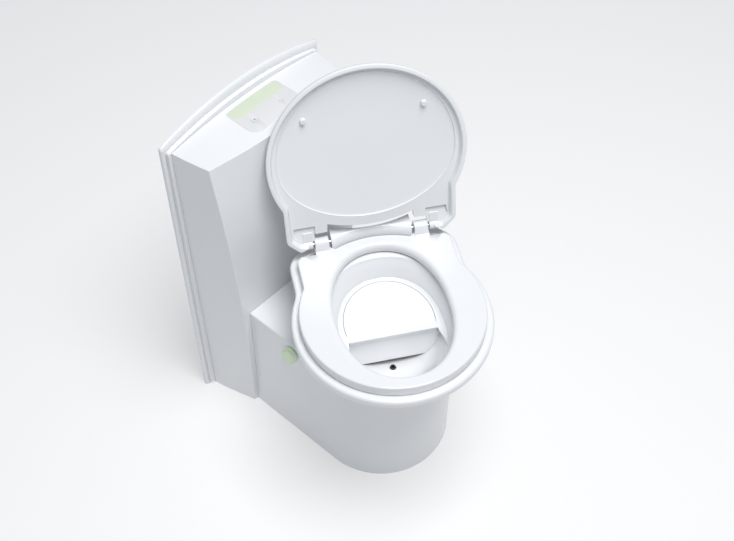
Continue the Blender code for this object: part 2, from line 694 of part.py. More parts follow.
def hinge_block(group):
    """The block behind the seat: a waisted barrel round the hinge's axis, with its pins and screws."""
    place = (0, HINGE_Y, HINGE_Z)
    half = HINGE_BLOCK_HALF
    low, high = (-half, HINGE_Y - 0.020, RIM_Z + GAP), (half, HINGE_Y + 0.0225, HINGE_Z)
    block = box("hinge_block", low, high, "white_plastic", group)
    waist = []
    for i in range(17):
        x = (half - 0.0003) * (1 - i / 8)
        seat_reach = math.hypot(HINGE_Y - seat_rear_y(x), HINGE_Z - SEAT_TOP_Z)
        waist.append((min(0.0165, max(seat_reach - 0.0012, 0.0090)), -x))
    barrel = turned("hinge_barrel", place, waist, "white_plastic", group, axis="x")
    low, high = (-half + 0.0006, HINGE_Y, HINGE_Z - 0.01), (half - 0.0006, HINGE_Y + 0.0215, HINGE_Z + 0.0075)
    crest = box("hinge_crest", low, high, "white_plastic", group)
    join(block, barrel, crest)
    in_front = prism("seat_room", seat_rear_region(0.100, 0.04, 0.0015), 0.44, 0.54, "white_plastic", group)
    cut(block, in_front)
    cut(block, rod("block_bore", place, HINGE_PIN_R + GAP, -0.090, 0.090, "steel", group, axis="x"))
    join(block, rod("block_core", place, HINGE_PIN_R + 0.002, -0.058, 0.058, "steel", group, axis="x"))
    for side, word in ((-1, "left"), (1, "right")):
        ends = sorted((side * 0.0590, side * 0.1340))
        rod(f"hinge_pin_{word}", place, HINGE_PIN_R, *ends, "steel", group, axis="x")
        spot = (side * 0.050, HINGE_Y + 0.0135, 0)
        steps = ((0.0026, 0.45), (0.0026, 0.5050), (0.0058, 0.5050), (0.0058, 0.53))
        cut(block, turned(f"screw_bore_{word}", spot, steps, "steel", group, count=12))
        steps = ((0.0022, RIM_Z + 0.001), (0.0022, 0.5054), (0.0052, 0.5054), (0.0040, 0.5090))
        turned(f"hinge_screw_{word}", spot, steps, "steel", group, count=12)


def flush_jet(group):
    """The small water jet in the floor of the sump."""
    profile = ((0.0032, 0.334), (0.0056, 0.334), (0.0056, 0.3520), (0.0032, 0.3520))
    return turned("flush_jet", (-0.004, -0.110, 0), profile, "dark_plastic", group, count=12, closed=True)


def seat(group):
    """The seat ring with its two hinge knuckles and four buffers."""
    axis = empty("seat_axis", (0, HINGE_Y, HINGE_Z), group)
    sink = Vector((0, HINGE_Y, HINGE_Z))

    def outer(z, inset=0.0):
        return shifted(eared_ring(SEAT_R, 0.1525, 0.0706, 0.1035, z, inset), sink)

    def hole(z, grow=0.0):
        return shifted(egg_ring(-0.079, 0.1120 + grow, 0.1540 + grow, 0.1520 + grow, z, power=2.1), sink)

    rings = [
        hole(SEAT_BOTTOM_Z, 0.004),
        hole(SEAT_TOP_Z - 0.006),
        hole(SEAT_TOP_Z, 0.007),
        outer(SEAT_TOP_Z, 0.004),
        outer(SEAT_TOP_Z - 0.003),
        outer(SEAT_BOTTOM_Z, 0.002),
    ]
    ring = loft("seat_ring", rings, "white_plastic", axis, closed=True)
    half = HINGE_BLOCK_HALF + 0.0045
    edge = [(x, y - HINGE_Y) for x, y in seat_rear_region(half, 0.15)]
    cut(ring, prism("block_room", edge, -0.04, 0.03, "white_plastic", axis))
    for side, word in ((-1, "left"), (1, "right")):
        x = sorted((side * 0.1135, side * 0.17))
        cut(ring, rod(f"lid_room_{word}", (0, 0, 0), LID_SWEEP_R, x[0], x[1], "white_plastic", axis, "x", 32))
        cut(ring, box(f"ear_end_{word}", (x[0], -0.0100, -0.04), (x[1], 0.02, 0.03), "white_plastic", axis))
        x = sorted((side * (half + 0.0005), side * 0.1130))
        knuckle = rod(f"seat_knuckle_{word}", (0, 0, 0), 0.0120, x[0], x[1], "white_plastic", axis, "x", 24)
        join(ring, knuckle)
    cut(ring, rod("seat_bore", (0, 0, 0), HINGE_PIN_R + GAP, -0.130, 0.130, "steel", axis, axis="x"))
    for i, (x, y) in enumerate(((-0.140, -0.02), (0.140, -0.02), (-0.118, -0.200), (0.118, -0.200)), 1):
        place = Vector((x, y, 0)) - sink
        profile = ((0.0060, RIM_Z + GAP), (0.0070, SEAT_BOTTOM_Z - GAP))
        turned(f"seat_buffer_{i}", place, profile, "rubber", axis, count=12)


def shifted(ring, by):
    return [tuple(Vector(point) - by) for point in ring]


LID_OUTSIDE = (  # z when closed, and how far in from the outline
    (LID_BOTTOM_Z, 0.0),
    (LID_BOTTOM_Z + 0.010, 0.0020),
    (LID_BOTTOM_Z + 0.018, 0.0120),
    (LID_BOTTOM_Z + 0.023, 0.0215),
    (LID_BOTTOM_Z + 0.027, 0.0395),
)
LID_INSIDE = (
    (LID_BOTTOM_Z + 0.0230, 0.0415),
    (LID_BOTTOM_Z + 0.0185, 0.0245),
    (LID_BOTTOM_Z + 0.0145, 0.0150),
    (LID_BOTTOM_Z + 0.0095, 0.0110),
    (LID_BOTTOM_Z, 0.0100),
)


def lid(group):
    """The lid, modelled closed over the seat and opened by its axis empty."""
    axis = empty("lid_axis", (0, HINGE_Y, HINGE_Z), group, (LID_OPEN, 0, 0))
    sink = Vector((0, HINGE_Y, HINGE_Z))

    def outline(z, inset):
        return shifted(eared_ring(LID_R, *LID_EAR, z, inset), sink)

    def dome(z, scale):
        return [(x * scale, (y + 0.15) * scale - 0.15, z - HINGE_Z) for x, y, _ in outline(0, 0.03)]

    rings = [outline(z, inset) for z, inset in LID_OUTSIDE]
    rings += [dome(LID_TOP_Z - 0.001, 0.60), dome(LID_TOP_Z, 0.10)]
    rings += [dome(LID_TOP_Z - WALL, 0.10), dome(LID_TOP_Z - 0.0050, 0.60)]
    rings += [outline(z, inset) for z, inset in LID_INSIDE]
    shell = lid_mesh(rings, len(LID_OUTSIDE) + 2, axis)
    notch = box("lid_notch", (-0.1140, -0.0345, -0.05), (0.1140, 0.06, 0.05), "white_plastic", axis)
    cut(shell, notch)
    for side, word in ((-1, "left"), (1, "right")):
        x = sorted((side * 0.1160, side * 0.1340))
        low, high = (x[0] + 0.0005, -0.0250, -0.0020), (x[1] - 0.0005, 0.0, 0.0075)
        lug = box(f"lid_lug_{word}", low, high, "white_plastic", axis)
        knuckle = rod(f"lid_knuckle_{word}", (0, 0, 0), 0.0100, x[0], x[1], "white_plastic", axis, axis="x")
        join(shell, lug, knuckle)
    cut(shell, rod("lid_bore", (0, 0, 0), HINGE_PIN_R + GAP, -0.1485, 0.1485, "steel", axis, axis="x"))
    for side, word in ((-1, "left"), (1, "right")):
        place = Vector((side * 0.112, -0.172, SEAT_TOP_Z)) - sink
        turned(f"lid_buffer_{word}", place, ((0.0050, GAP), (0.0070, 0.0108)), "rubber", axis, count=12)


def lid_mesh(rings, middle, axis):
    """A domed shell: the rings before the middle are its outside and the others its inside, both capped."""
    bm = bmesh.new()
    rows = [[bm.verts.new(point) for point in ring] for ring in rings]
    for k, (low, high) in enumerate(zip(rows, rows[1:] + rows[:1])):
        if k == middle - 1:
            continue
        for i in range(len(low)):
            j = (i + 1) % len(low)
            bm.faces.new((low[i], low[j], high[j], high[i]))
    bm.faces.new(rows[middle - 1])
    bm.faces.new(reversed(rows[middle]))
    return solid("lid_shell", bm, "white_plastic", axis)


# ---------------------------------------------------------------- the cassette
def waste_tank():
    """The hollow waste tank, with its axle blocks, skids, handle guides and the openings in its top."""
    bottom, top = TANK_Z
    tank = prism("waste_tank", d_outline(TANK_HALF, TANK_REAR_Y), bottom, top, "tank_plastic")
    wall = 0.003
    inner = d_outline(TANK_HALF - wall, TANK_REAR_Y - wall)
    inside = prism("tank_inside", inner, bottom + wall, top - wall, "tank_plastic")
    inlet = rod("tank_inlet", (0, 0, 0), 0.045, top - 0.02, top + 0.02, "tank_plastic", count=32)
    spout_hole = rod("tank_spout_hole", (*SPOUT_XY, 0), 0.0180, top - 0.02, top + 0.02, "tank_plastic")
    vent_at = (-0.090, 0.285, 0)
    vent_hole = rod("tank_vent_hole", vent_at, 0.0066, top - 0.02, top + 0.02, "tank_plastic", count=12)
    for side in (-1, 1):
        word = "left" if side < 0 else "right"
        x = sorted((side * 0.0880, side * 0.0960))
        low, high = (x[0], -0.038, 0.0180), (x[1], -0.014, bottom + 0.002)
        block = box(f"axle_block_{word}", low, high, "tank_plastic")
        x = sorted((side * 0.1000, side * 0.1120))
        low, high = (x[0], 0.230, PAN_TOP + GAP), (x[1], 0.300, bottom + 0.002)
        skid = box(f"skid_{word}", low, high, "tank_plastic")
        x = sorted((side * (TANK_HALF - 0.001), side * 0.1425))
        low, high = (x[0], 0.270, PULL_Z - 0.008), (x[1], 0.310, PULL_Z + 0.008)
        guide = box(f"handle_guide_{word}", low, high, "tank_plastic")
        x = sorted((side * 0.0580, side * 0.0640))
        low, high = (x[0], TANK_REAR_Y - 0.001, 0.172), (x[1], 0.3415, 0.190)
        ear = box(f"handle_ear_{word}", low, high, "tank_plastic")
        join(tank, block, skid, guide, ear)
    ear_bore = rod("ear_bore", (0, *HANDLE_YZ), 0.0034, -0.08, 0.08, "steel", axis="x", count=12)
    bore = rod("axle_bore", (0, *AXLE_YZ), 0.0034, -0.12, 0.12, "steel", axis="x", count=12)
    cut(tank, inside, inlet, spout_hole, vent_hole, bore, ear_bore)
    for side in (-1, 1):
        word = "left" if side < 0 else "right"
        place = (side * 0.1368, 0, PULL_Z)
        cut(tank, rod(f"guide_bore_{word}", place, 0.0034, 0.25, 0.33, "steel", axis="y", count=12))


def wheels():
    rod("wheel_axle", (0, *AXLE_YZ), 0.0030, -0.1080, 0.1080, "steel", axis="x", count=12)
    for side, word in ((-1, "left"), (1, "right")):
        x = sorted((side * 0.0970, side * 0.1060))
        axis = empty(f"wheel_{word}_axis", (0, *AXLE_YZ))
        sleeve(f"wheel_{word}", (0, 0, 0), 0.0034, WHEEL_R, x[0], x[1], "rubber", axis, axis="x", count=20)


def valve_outline(inset):
    """The (x, y) outline of the valve tray, with room for the blade's disc all the way round its turn."""
    pivot = (SPINDLE_X, KNOB_Y)
    reach = math.hypot(*pivot)
    closed_angle = math.degrees(math.atan2(-KNOB_Y, -SPINDLE_X))
    open_angle = closed_angle + BLADE_TURN
    opened = [p + reach * f(math.radians(open_angle)) for p, f in zip(pivot, (math.cos, math.sin))]
    radius = 0.0530 - inset
    arcs = (
        ((0, 0), radius, 190 - 360, closed_angle),
        (pivot, reach + radius, closed_angle + 2, open_angle - 2),
        (opened, radius, open_angle, 97),
        (pivot, 0.026 - inset, 97, 190),
    )
    shape = []
    for centre, length, start, stop in arcs:
        for i in range(9):
            a = math.radians(start + (stop - start) * i / 8)
            shape.append((centre[0] + length * math.cos(a), centre[1] + length * math.sin(a)))
    return shape


def valve():
    """The valve on the tank: tray, cover with the lip seal, and the blade on its slotted spindle."""
    low = TANK_Z[1] + GAP
    tray = prism("valve_tray", valve_outline(0.0), low, 0.2360, "tank_plastic")
    pocket = prism("tray_pocket", valve_outline(0.003), low + 0.006, 0.25, "tank_plastic")
    hole = rod("tray_hole", (0, 0, 0), 0.0435, low - 0.01, 0.25, "tank_plastic", count=32)
    cut(tray, pocket, hole)
    cover = prism("valve_cover", valve_outline(0.0), 0.2364, 0.2395, "tank_plastic")
    opening = rod("cover_hole", (0, 0, 0), 0.0435, 0.22, 0.25, "tank_plastic", count=32)
    spindle_hole = rod("cover_spindle_hole", (SPINDLE_X, KNOB_Y, 0), 0.0066, 0.22, 0.25, "tank_plastic")
    cut(cover, opening, spindle_hole)
    profile = ((0.0435, 0.2399), (0.0500, 0.2399), (0.0515, 0.2498), (0.0490, 0.2498))
    turned("lip_seal", (0, 0, 0), profile, "rubber", count=32, closed=True)
    axis = empty("blade_axis", (SPINDLE_X, KNOB_Y, 0.2300))
    place = (-SPINDLE_X, -KNOB_Y, 0)
    blade = rod("valve_blade", place, 0.0480, -0.0020, 0.0020, "dark_plastic", axis, count=32)
    reach = math.hypot(SPINDLE_X, KNOB_Y)
    arm = box("blade_arm", (0, -0.010, -0.0020), (reach - 0.02, 0.010, 0.0020), "dark_plastic", axis)
    arm.rotation_euler = (0, 0, math.atan2(-KNOB_Y, -SPINDLE_X))
    boss = rod("blade_boss", (0, 0, 0), 0.0140, -0.0020, 0.0020, "dark_plastic", axis)
    neck = rod("blade_neck", (0, 0, 0), 0.0060, -0.0010, 0.0110, "dark_plastic", axis)
    hub = rod("blade_hub", (0, 0, 0), 0.0120, 0.0099, 0.0200, "dark_plastic", axis)
    slot = box("blade_slot", (-0.0024, -0.02, 0.0130), (0.0024, 0.02, 0.03), "dark_plastic", axis)
    join(blade, arm, boss, neck, hub)
    cut(blade, slot)


def spout():
    """The pouring spout: it lies over the tank and swings out past the rear, with a cap on its end."""
    axis = empty("spout_axis", (*SPOUT_XY, 0))
    base = TANK_Z[1] + GAP
    foot = rod("pouring_spout", (0, 0, 0), 0.0200, base, SPOUT_Z, "tank_plastic", axis)
    elbow = bpy.data.objects.new("spout_elbow", ball(0.0207))
    bpy.context.collection.objects.link(elbow)
    elbow.parent = axis
    elbow.location = (0, 0, SPOUT_Z)
    arm = rod("spout_arm", (0, 0, SPOUT_Z), 0.0200, -0.0840, 0.0, "tank_plastic", axis, axis="y")
    upright = rod("spout_bore_upright", (0, 0, 0), 0.0165, base - 0.01, SPOUT_Z + 0.002, "tank_plastic", axis)
    along = rod("spout_bore_along", (0, 0, SPOUT_Z), 0.0155, -0.10, 0.003, "tank_plastic", axis, axis="y")
    join(foot, elbow, arm)
    cut(foot, upright, along)
    cap_axis = empty("spout_cap_axis", (0, -0.0844, SPOUT_Z), axis)
    cap = rod("spout_cap", (0, 0, 0), 0.0215, -0.0120, 0.0, "green_plastic", cap_axis, axis="y", count=20)
    low, high = (-0.0030, -0.0165, -0.0180), (0.0030, -0.0110, 0.0180)
    grip = box("spout_cap_grip", low, high, "green_plastic", cap_axis)
    join(cap, grip)


def ball(radius):
    bm = bmesh.new()
    bmesh.ops.create_uvsphere(bm, u_segments=24, v_segments=12, radius=radius)
    mesh = bpy.data.meshes.new("ball")
    bm.to_mesh(mesh)
    bm.free()
    return mesh


def vent_button():
    axis = empty("vent_axis", (-0.090, 0.285, TANK_Z[1]))
    profile = ((0.0055, -0.0120), (0.0055, 0.0080), (0.0095, 0.0080), (0.0095, 0.0120), (0.0080, 0.0135))
    turned("vent_button", (0, 0, 0), profile, "green_plastic", axis, count=16)


def carrying_handle():
    """A folding handle on the cassette's outer end."""
    axis = empty("carrying_handle_axis", (0, *HANDLE_YZ))
    ends = (-0.0680, 0.0680)
    bar = rod("carrying_handle", (0, 0, 0), 0.0030, *ends, "green_plastic", axis, axis="x", count=12)
    for side, word in ((-1, "left"), (1, "right")):
        x = sorted((side * 0.0475, side * 0.0560))
        low, high = (x[0], -0.0045, -0.0430), (x[1], 0.0045, 0.0045)
        join(bar, box(f"handle_leg_{word}", low, high, "green_plastic", axis))
    low, high = (-0.0560, -0.0055, -0.0560), (0.0560, 0.0055, -0.0420)
    join(bar, box("handle_grip", low, high, "green_plastic", axis))


def pull_handle():
    """The pull-out handle: two rods in the tank's guides and a cross bar."""
    axis = empty("pull_handle_axis", (0, 0, PULL_Z))
    grip = box("pull_handle", (-0.1400, 0.3310, -0.0050), (0.1400, 0.3410, 0.0050), "dark_plastic", axis)
    for side, word in ((-1, "left"), (1, "right")):
        place = (side * 0.1368, 0, 0)
        ends = (0.060, 0.335)
        stem = rod(f"handle_rod_{word}", place, 0.0030, *ends, "dark_plastic", axis, axis="y", count=12)
        join(grip, stem)


# ---------------------------------------------------------------- assembly
def main():
    clear_scene()
    wall_flange()
    rear_housing()
    console()
    pedestal()
    floor_pan()
    cassette_latch()
    swivel_track()
    flush_water()
    valve_knob()
    drive_spindle()
    group = empty("bowl_axis", turn=(0, 0, REST_TURN))
    bowl_liner(group)
    bowl_skin(group)
    swivel_ring(group)
    shelf_plate(group)
    hinge_block(group)
    flush_jet(group)
    seat(group)
    lid(group)
    waste_tank()
    wheels()
    valve()
    spout()
    vent_button()
    carrying_handle()
    pull_handle()


main()
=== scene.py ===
"""The looks of the cassette toilet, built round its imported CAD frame.

Metres, in the CAD's frame: the origin is on the floor on the bowl's swivel axis, +Y points at the wall.
The bowl, seat and lid are modelled facing -Y and closed, and then turned to where the CAD holds them.
"""

import math

import bmesh
import bpy
from mathutils import Matrix, Vector


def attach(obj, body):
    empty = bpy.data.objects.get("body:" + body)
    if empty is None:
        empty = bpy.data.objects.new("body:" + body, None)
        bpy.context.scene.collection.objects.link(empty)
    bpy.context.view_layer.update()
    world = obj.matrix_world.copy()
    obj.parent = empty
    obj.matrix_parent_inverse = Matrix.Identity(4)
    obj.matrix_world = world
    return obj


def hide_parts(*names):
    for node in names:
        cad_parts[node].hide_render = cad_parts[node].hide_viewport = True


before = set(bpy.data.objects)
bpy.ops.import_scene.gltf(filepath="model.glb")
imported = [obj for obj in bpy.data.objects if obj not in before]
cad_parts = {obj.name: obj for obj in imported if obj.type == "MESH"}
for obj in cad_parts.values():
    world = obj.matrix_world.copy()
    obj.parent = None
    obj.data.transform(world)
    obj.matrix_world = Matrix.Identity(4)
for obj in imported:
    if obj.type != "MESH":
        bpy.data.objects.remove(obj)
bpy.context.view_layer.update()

# ---------------------------------------------------------------- driving dimensions, as the CAD has them
REST_TURN = math.radians(-35.6)
LID_OPEN = math.radians(-104)
WALL = 0.004
GAP = 0.0004
HINGE = Vector((0, 0.100, 0.505))

WALL_Y = 0.357
FLANGE_HALF = 0.203
FLANGE_CORNER_Z = 0.746
FLANGE_RISE = 0.027
FLANGE_STEP = 0.008
FLANGE_LIFT = 0.006
HOUSING_REAR_Y = WALL_Y - 2 * FLANGE_STEP - GAP
HOUSING_TOP_Z = 0.738
HOUSING_CROWN = 0.016
CROWN_HALF = 0.181
FRONT_MID_Y = 0.226
FRONT_CORNER_Y = 0.229
FRONT_CORNER_Z = 0.28
FRONT_LEAN = 0.138

DECK_Z = 0.325
PEDESTAL_HALF = 0.149
RIM_Z = 0.475
RIM_R = 0.1904
RIM_CENTRE_Y = -0.0834
SEAT_BOTTOM_Z = 0.4785
SEAT_TOP_Z = 0.4985
SEAT_R = 0.1755
SEAT_REAR_R = 0.191
SEAT_REAR_CENTRE_Y = -0.090
LID_R = 0.1895
SHELF_Z = 0.430
SHELF_LIP_Y = -0.093
SHELF_HALF = 0.0880
SHELF_MIDDLE_Y = -0.060
SHELF_REACH = 0.0995  # from its middle to its rear
APRON_TOP_Z = 0.418
APRON_FOOT_Z = 0.361
APRON_SLOPE = 0.0080
APRON_THICK = 0.0030
JET_AT = (-0.004, -0.110, 0)
BUTTON_AT = (-0.038, 0.279)
LAMP_AT = (0.030, 0.279)
KNOB_Y = 0.115
KNOB_Z = 0.285
KNOB_HALF = (0.0165, 0.0290)
KNOB_LEAN = math.radians(22)
LID_EAR = (0.1670, 0.0800, 0.1040)  # half width, the cut corner's y, rear y
LID_SWEEP_R = 0.0230
LEDGE_Z = 0.4992  # the flat band inside the lid's edge
PIN_R = 0.0040
PIN_BORE_R = 0.0044
EAR_START_Y = -0.03  # where the rays that draw the eared outlines start
ROUND = 180  # points round a large ring

CAMERA_AZIMUTH = math.radians(-48.353)
CAMERA_ELEVATION = math.radians(50.840)
CAMERA_AT = (-1.02417, -0.87055, 2.16310)
CAMERA_LENS = 55.18


# ---------------------------------------------------------------- materials
def plastic(name, colour, roughness, tint=0.03, grain=350.0, bump=0.02, coat=0.0):
    """Moulded plastic: slightly uneven colour and gloss, and a fine moulded grain."""
    made = bpy.data.materials.new(name)
    made.use_nodes = True
    nodes, links = made.node_tree.nodes, made.node_tree.links
    shader = nodes["Principled BSDF"]
    shader.inputs["Coat Weight"].default_value = coat
    shader.inputs["Coat Roughness"].default_value = 0.08
    place = nodes.new("ShaderNodeTexCoord")
    cloud = nodes.new("ShaderNodeTexNoise")
    cloud.inputs["Scale"].default_value = 9.0
    cloud.inputs["Detail"].default_value = 3.0
    links.new(place.outputs["Object"], cloud.inputs["Vector"])
    shade = nodes.new("ShaderNodeValToRGB")
    shade.color_ramp.elements[0].color = (*(c * (1 - tint) for c in colour), 1)
    shade.color_ramp.elements[1].color = (*(min(c * (1 + tint), 1) for c in colour), 1)
    links.new(cloud.outputs["Fac"], shade.inputs["Fac"])
    links.new(shade.outputs["Color"], shader.inputs["Base Color"])
    gloss = nodes.new("ShaderNodeMapRange")
    gloss.inputs["To Min"].default_value = roughness * 0.82
    gloss.inputs["To Max"].default_value = roughness * 1.18
    links.new(cloud.outputs["Fac"], gloss.inputs["Value"])
    links.new(gloss.outputs["Result"], shader.inputs["Roughness"])
    fine = nodes.new("ShaderNodeTexNoise")
    fine.inputs["Scale"].default_value = grain
    links.new(place.outputs["Object"], fine.inputs["Vector"])
    relief = nodes.new("ShaderNodeBump")
    relief.inputs["Strength"].default_value = bump
    relief.inputs["Distance"].default_value = 0.0005
    links.new(fine.outputs["Fac"], relief.inputs["Height"])
    links.new(relief.outputs["Normal"], shader.inputs["Normal"])
    return made


def metal(name, colour, roughness, stretch):
    """Brushed metal: fine scratches along one direction."""
    made = plastic(name, colour, roughness, tint=0.08, grain=600.0, bump=0.05)
    made.node_tree.nodes["Principled BSDF"].inputs["Metallic"].default_value = 1.0
    nodes, links = made.node_tree.nodes, made.node_tree.links
    mapping = nodes.new("ShaderNodeMapping")
    mapping.inputs["Scale"].default_value = stretch
    fine = [n for n in nodes if n.type == "TEX_NOISE"][1]
    place = [n for n in nodes if n.type == "TEX_COORD"][0]
    links.new(place.outputs["Object"], mapping.inputs["Vector"])
    links.new(mapping.outputs["Vector"], fine.inputs["Vector"])
    return made


WHITE = plastic("gloss_white_abs", (0.80, 0.81, 0.825), 0.24, tint=0.010, bump=0.012, coat=0.15)
BOWL_WHITE = plastic("bowl_white", (0.82, 0.83, 0.845), 0.18, tint=0.008, bump=0.008, coat=0.2)
GREEN = plastic("knob_green", (0.74, 0.87, 0.62), 0.38, tint=0.05, grain=900.0, bump=0.05)
BAND = plastic("band_green", (0.62, 0.68, 0.54), 0.40, tint=0.03, grain=900.0, bump=0.05)
PANEL = plastic("panel_grey", (0.68, 0.68, 0.68), 0.42, tint=0.02, grain=1200.0, bump=0.06)
ICON = plastic("icon_grey", (0.30, 0.31, 0.33), 0.45, tint=0.05, grain=900.0, bump=0.03)
DARK = plastic("dark_nylon", (0.035, 0.036, 0.040), 0.50, tint=0.15, grain=700.0, bump=0.12)
TANK = plastic("tank_polyethylene", (0.40, 0.42, 0.44), 0.48, tint=0.06, grain=260.0, bump=0.16)
RUBBER = plastic("black_rubber", (0.022, 0.022, 0.023), 0.72, tint=0.2, grain=900.0, bump=0.18)
SOFT_WHITE = plastic("soft_white_buffer", (0.72, 0.735, 0.75), 0.45, tint=0.02, grain=900.0, bump=0.05)
LENS = plastic("lamp_lens", (0.66, 0.68, 0.66), 0.12, tint=0.04, grain=500.0, bump=0.01, coat=0.6)
BOARD = plastic("board_lacquer", (0.02, 0.16, 0.07), 0.35, tint=0.2, grain=1500.0, bump=0.08)
STEEL = metal("brushed_steel", (0.60, 0.60, 0.61), 0.28, (0.05, 1.0, 1.0))


# ---------------------------------------------------------------- building blocks
def piece(name, bm, material):
    """A named mesh object from bm, with its normals outward and smooth up to 34 degrees."""
    bmesh.ops.recalc_face_normals(bm, faces=bm.faces)
    mesh = bpy.data.meshes.new(name)
    bm.to_mesh(mesh)
    bm.free()
    mesh.materials.append(material)
    made = bpy.data.objects.new(name, mesh)
    bpy.context.collection.objects.link(made)
    soften(made)
    return made


def soften(made, angle=34.0):
    made.data.shade_smooth()
    made.data.set_sharp_from_angle(angle=math.radians(angle))


def loft(name, rings, material, closed=False, caps=True):
    """Quads between rings of points. Closed joins the last ring to the first, else both ends are capped."""
    bm = bmesh.new()
    rows = [[bm.verts.new(point) for point in ring] for ring in rings]
    for low, high in zip(rows, rows[1:] + rows[:1] if closed else rows[1:]):
        for i in range(len(low)):
            j = (i + 1) % len(low)
            bm.faces.new((low[i], low[j], high[j], high[i]))
    if caps and not closed:
        bm.faces.new(reversed(rows[0]))
        bm.faces.new(rows[-1])
    return piece(name, bm, material)


def prism(name, outline, low, high, material, axis="z"):
    """An outline extruded along an axis. For x and y the outline holds (y, z) and (x, z) points."""
    places = {
        "x": lambda p, t: (t, p[0], p[1]),
        "y": lambda p, t: (p[0], t, p[1]),
        "z": lambda p, t: (*p, t),
    }
    place = places[axis]
    return loft(name, [[place(p, t) for p in outline] for t in (low, high)], material)


def block(name, low, high, material):
    (x0, y0, z0), (x1, y1, z1) = low, high
    return prism(name, [(x0, y0), (x1, y0), (x1, y1), (x0, y1)], z0, z1, material)


def turned(name, centre, profile, material, axis="z", count=48, closed=False):
    """A profile of (radius, height) points turned round an axis through the centre."""
    places = {
        "x": lambda c, s, h: (h, c, s),
        "y": lambda c, s, h: (s, h, c),
        "z": lambda c, s, h: (c, s, h),
    }
    place = places[axis]
    rings = []
    for radius, height in profile:
        angles = [2 * math.pi * i / count for i in range(count)]
        round_axis = [place(radius * math.cos(a), radius * math.sin(a), height) for a in angles]
        rings.append([Vector(point) + Vector(centre) for point in round_axis])
    return loft(name, rings, material, closed=closed)


def rod(name, centre, radius, low, high, material, axis="z", count=48):
    return turned(name, centre, ((radius, low), (radius, high)), material, axis, count)


def apply_modifiers(made):
    """Puts the evaluated mesh in place of the object's own."""
    graph = bpy.context.evaluated_depsgraph_get()
    old = made.data
    made.data = bpy.data.meshes.new_from_object(made.evaluated_get(graph))
    made.modifiers.clear()
    bpy.data.meshes.remove(old)
    soften(made)


def boolean(made, operation, others, solver="EXACT"):
    """Cuts or joins other pieces at once, and removes them."""
    for other in others:
        change = made.modifiers.new("change", "BOOLEAN")
        change.operation = operation
        change.object = other
        change.solver = solver
        bpy.context.view_layer.update()
        apply_modifiers(made)
        bpy.data.objects.remove(other)
    return made


def cut(made, *others):
    return boolean(made, "DIFFERENCE", others)


def join(made, *others):
    return boolean(made, "UNION", others)


def rounded(made, width, segments=2, angle=38.0):
    """Rounds the sharp edges and keeps flat faces looking flat."""
    bevel = made.modifiers.new("rounded", "BEVEL")
    bevel.width = width
    bevel.segments = segments
    bevel.limit_method = "ANGLE"
    bevel.angle_limit = math.radians(angle)
    bevel.use_clamp_overlap = True
    flat = made.modifiers.new("flat", "WEIGHTED_NORMAL")
    flat.keep_sharp = True
    return made


def rounded_now(made, width, segments=2, angle=38.0):
    rounded(made, width, segments, angle)
    apply_modifiers(made)
    return made


def stands_for(made, body, slot, *nodes):
    """The piece rides on a body and takes the place of CAD nodes."""
    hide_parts(*nodes)
    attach(made, body)
    return made


def with_bowl(*made):
    """Turns pieces modelled facing -Y to where the bowl rests."""
    for one in made:
        one.data.transform(Matrix.Rotation(REST_TURN, 4, "Z"))
    return made[0]


def with_lid(*made):
    """Opens pieces modelled on the closed lid, and turns them with the bowl."""
    swing = Matrix.Translation(HINGE) @ Matrix.Rotation(LID_OPEN, 4, "X") @ Matrix.Translation(-HINGE)
    for one in made:
        one.data.transform(swing)
    return with_bowl(*made)


def fillet(z, inset, radius, start, stop, steps=5):
    """(z, inset) points along a quarter round, from start to stop degrees: 0 is outward and 90 is upward."""
    points = []
    for i in range(steps + 1):
        a = math.radians(start + (stop - start) * i / steps)
        points.append((z + radius * math.sin(a), inset + radius * (1 - math.cos(a))))
    return points


def smooth_curve(stations, steps):
    """Rows of numbers, passed through smoothly."""
    rows = [stations[0], *stations, stations[-1]]
    found = []
    for k in range(1, len(rows) - 2):
        before, start, end, after = rows[k - 1 : k + 3]
        for i in range(steps):
            t = i / steps
            row = []
            for a, b, c, d in zip(before, start, end, after):
                square, cube = 2 * a - 5 * b + 4 * c - d, 3 * b - a - 3 * c + d
                row.append(0.5 * (2 * b + (c - a) * t + square * t**2 + cube * t**3))
            found.append(row)
    return [*found, list(stations[-1])]


def smoothstep(t):
    t = min(max(t, 0.0), 1.0)
    return t * t * (3 - 2 * t)


# ---------------------------------------------------------------- outlines
def ray_to_circle(start_y, angle, centre_y, radius):
    offset = start_y - centre_y
    return -offset * math.sin(angle) + math.sqrt(max(radius**2 - (offset * math.cos(angle)) ** 2, 0))


def ray_to_planes(start_y, angle, planes):
    found = []
    for nx, ny, d in planes:
        slope = nx * math.cos(angle) + ny * math.sin(angle)
        if slope > 1e-6:
            found.append((d - ny * start_y) / slope)
    return min(found)


def relaxed(values, span):
    """A ring of values, each replaced by the mean of its neighbours."""
    count = len(values)
    window = range(-span, span + 1)
    return [sum(values[(i + k) % count] for k in window) / len(window) for i in range(count)]


def eared_reach(radius, half, corner_y, rear_y, count=ROUND, span=1):
    """Distances from (0, EAR_START_Y) to a circle joined to a block with cut corners behind it."""
    cut_d = (half + corner_y) / math.sqrt(2)
    slant = 1 / math.sqrt(2)
    planes = [(1, 0, half), (-1, 0, half), (0, 1, rear_y), (0, -1, 0.06)]
    planes += [(slant, slant, cut_d), (-slant, slant, cut_d)]
    reach = []
    for i in range(count):
        angle = 2 * math.pi * i / count
        found = max(
            ray_to_circle(EAR_START_Y, angle, RIM_CENTRE_Y, radius),
            ray_to_planes(EAR_START_Y, angle, planes),
        )
        if math.sin(angle) > 0.1:
            found = min(found, ray_to_planes(EAR_START_Y, angle, [(0, 1, rear_y)]))
        reach.append(found)
    return relaxed(reach, span)


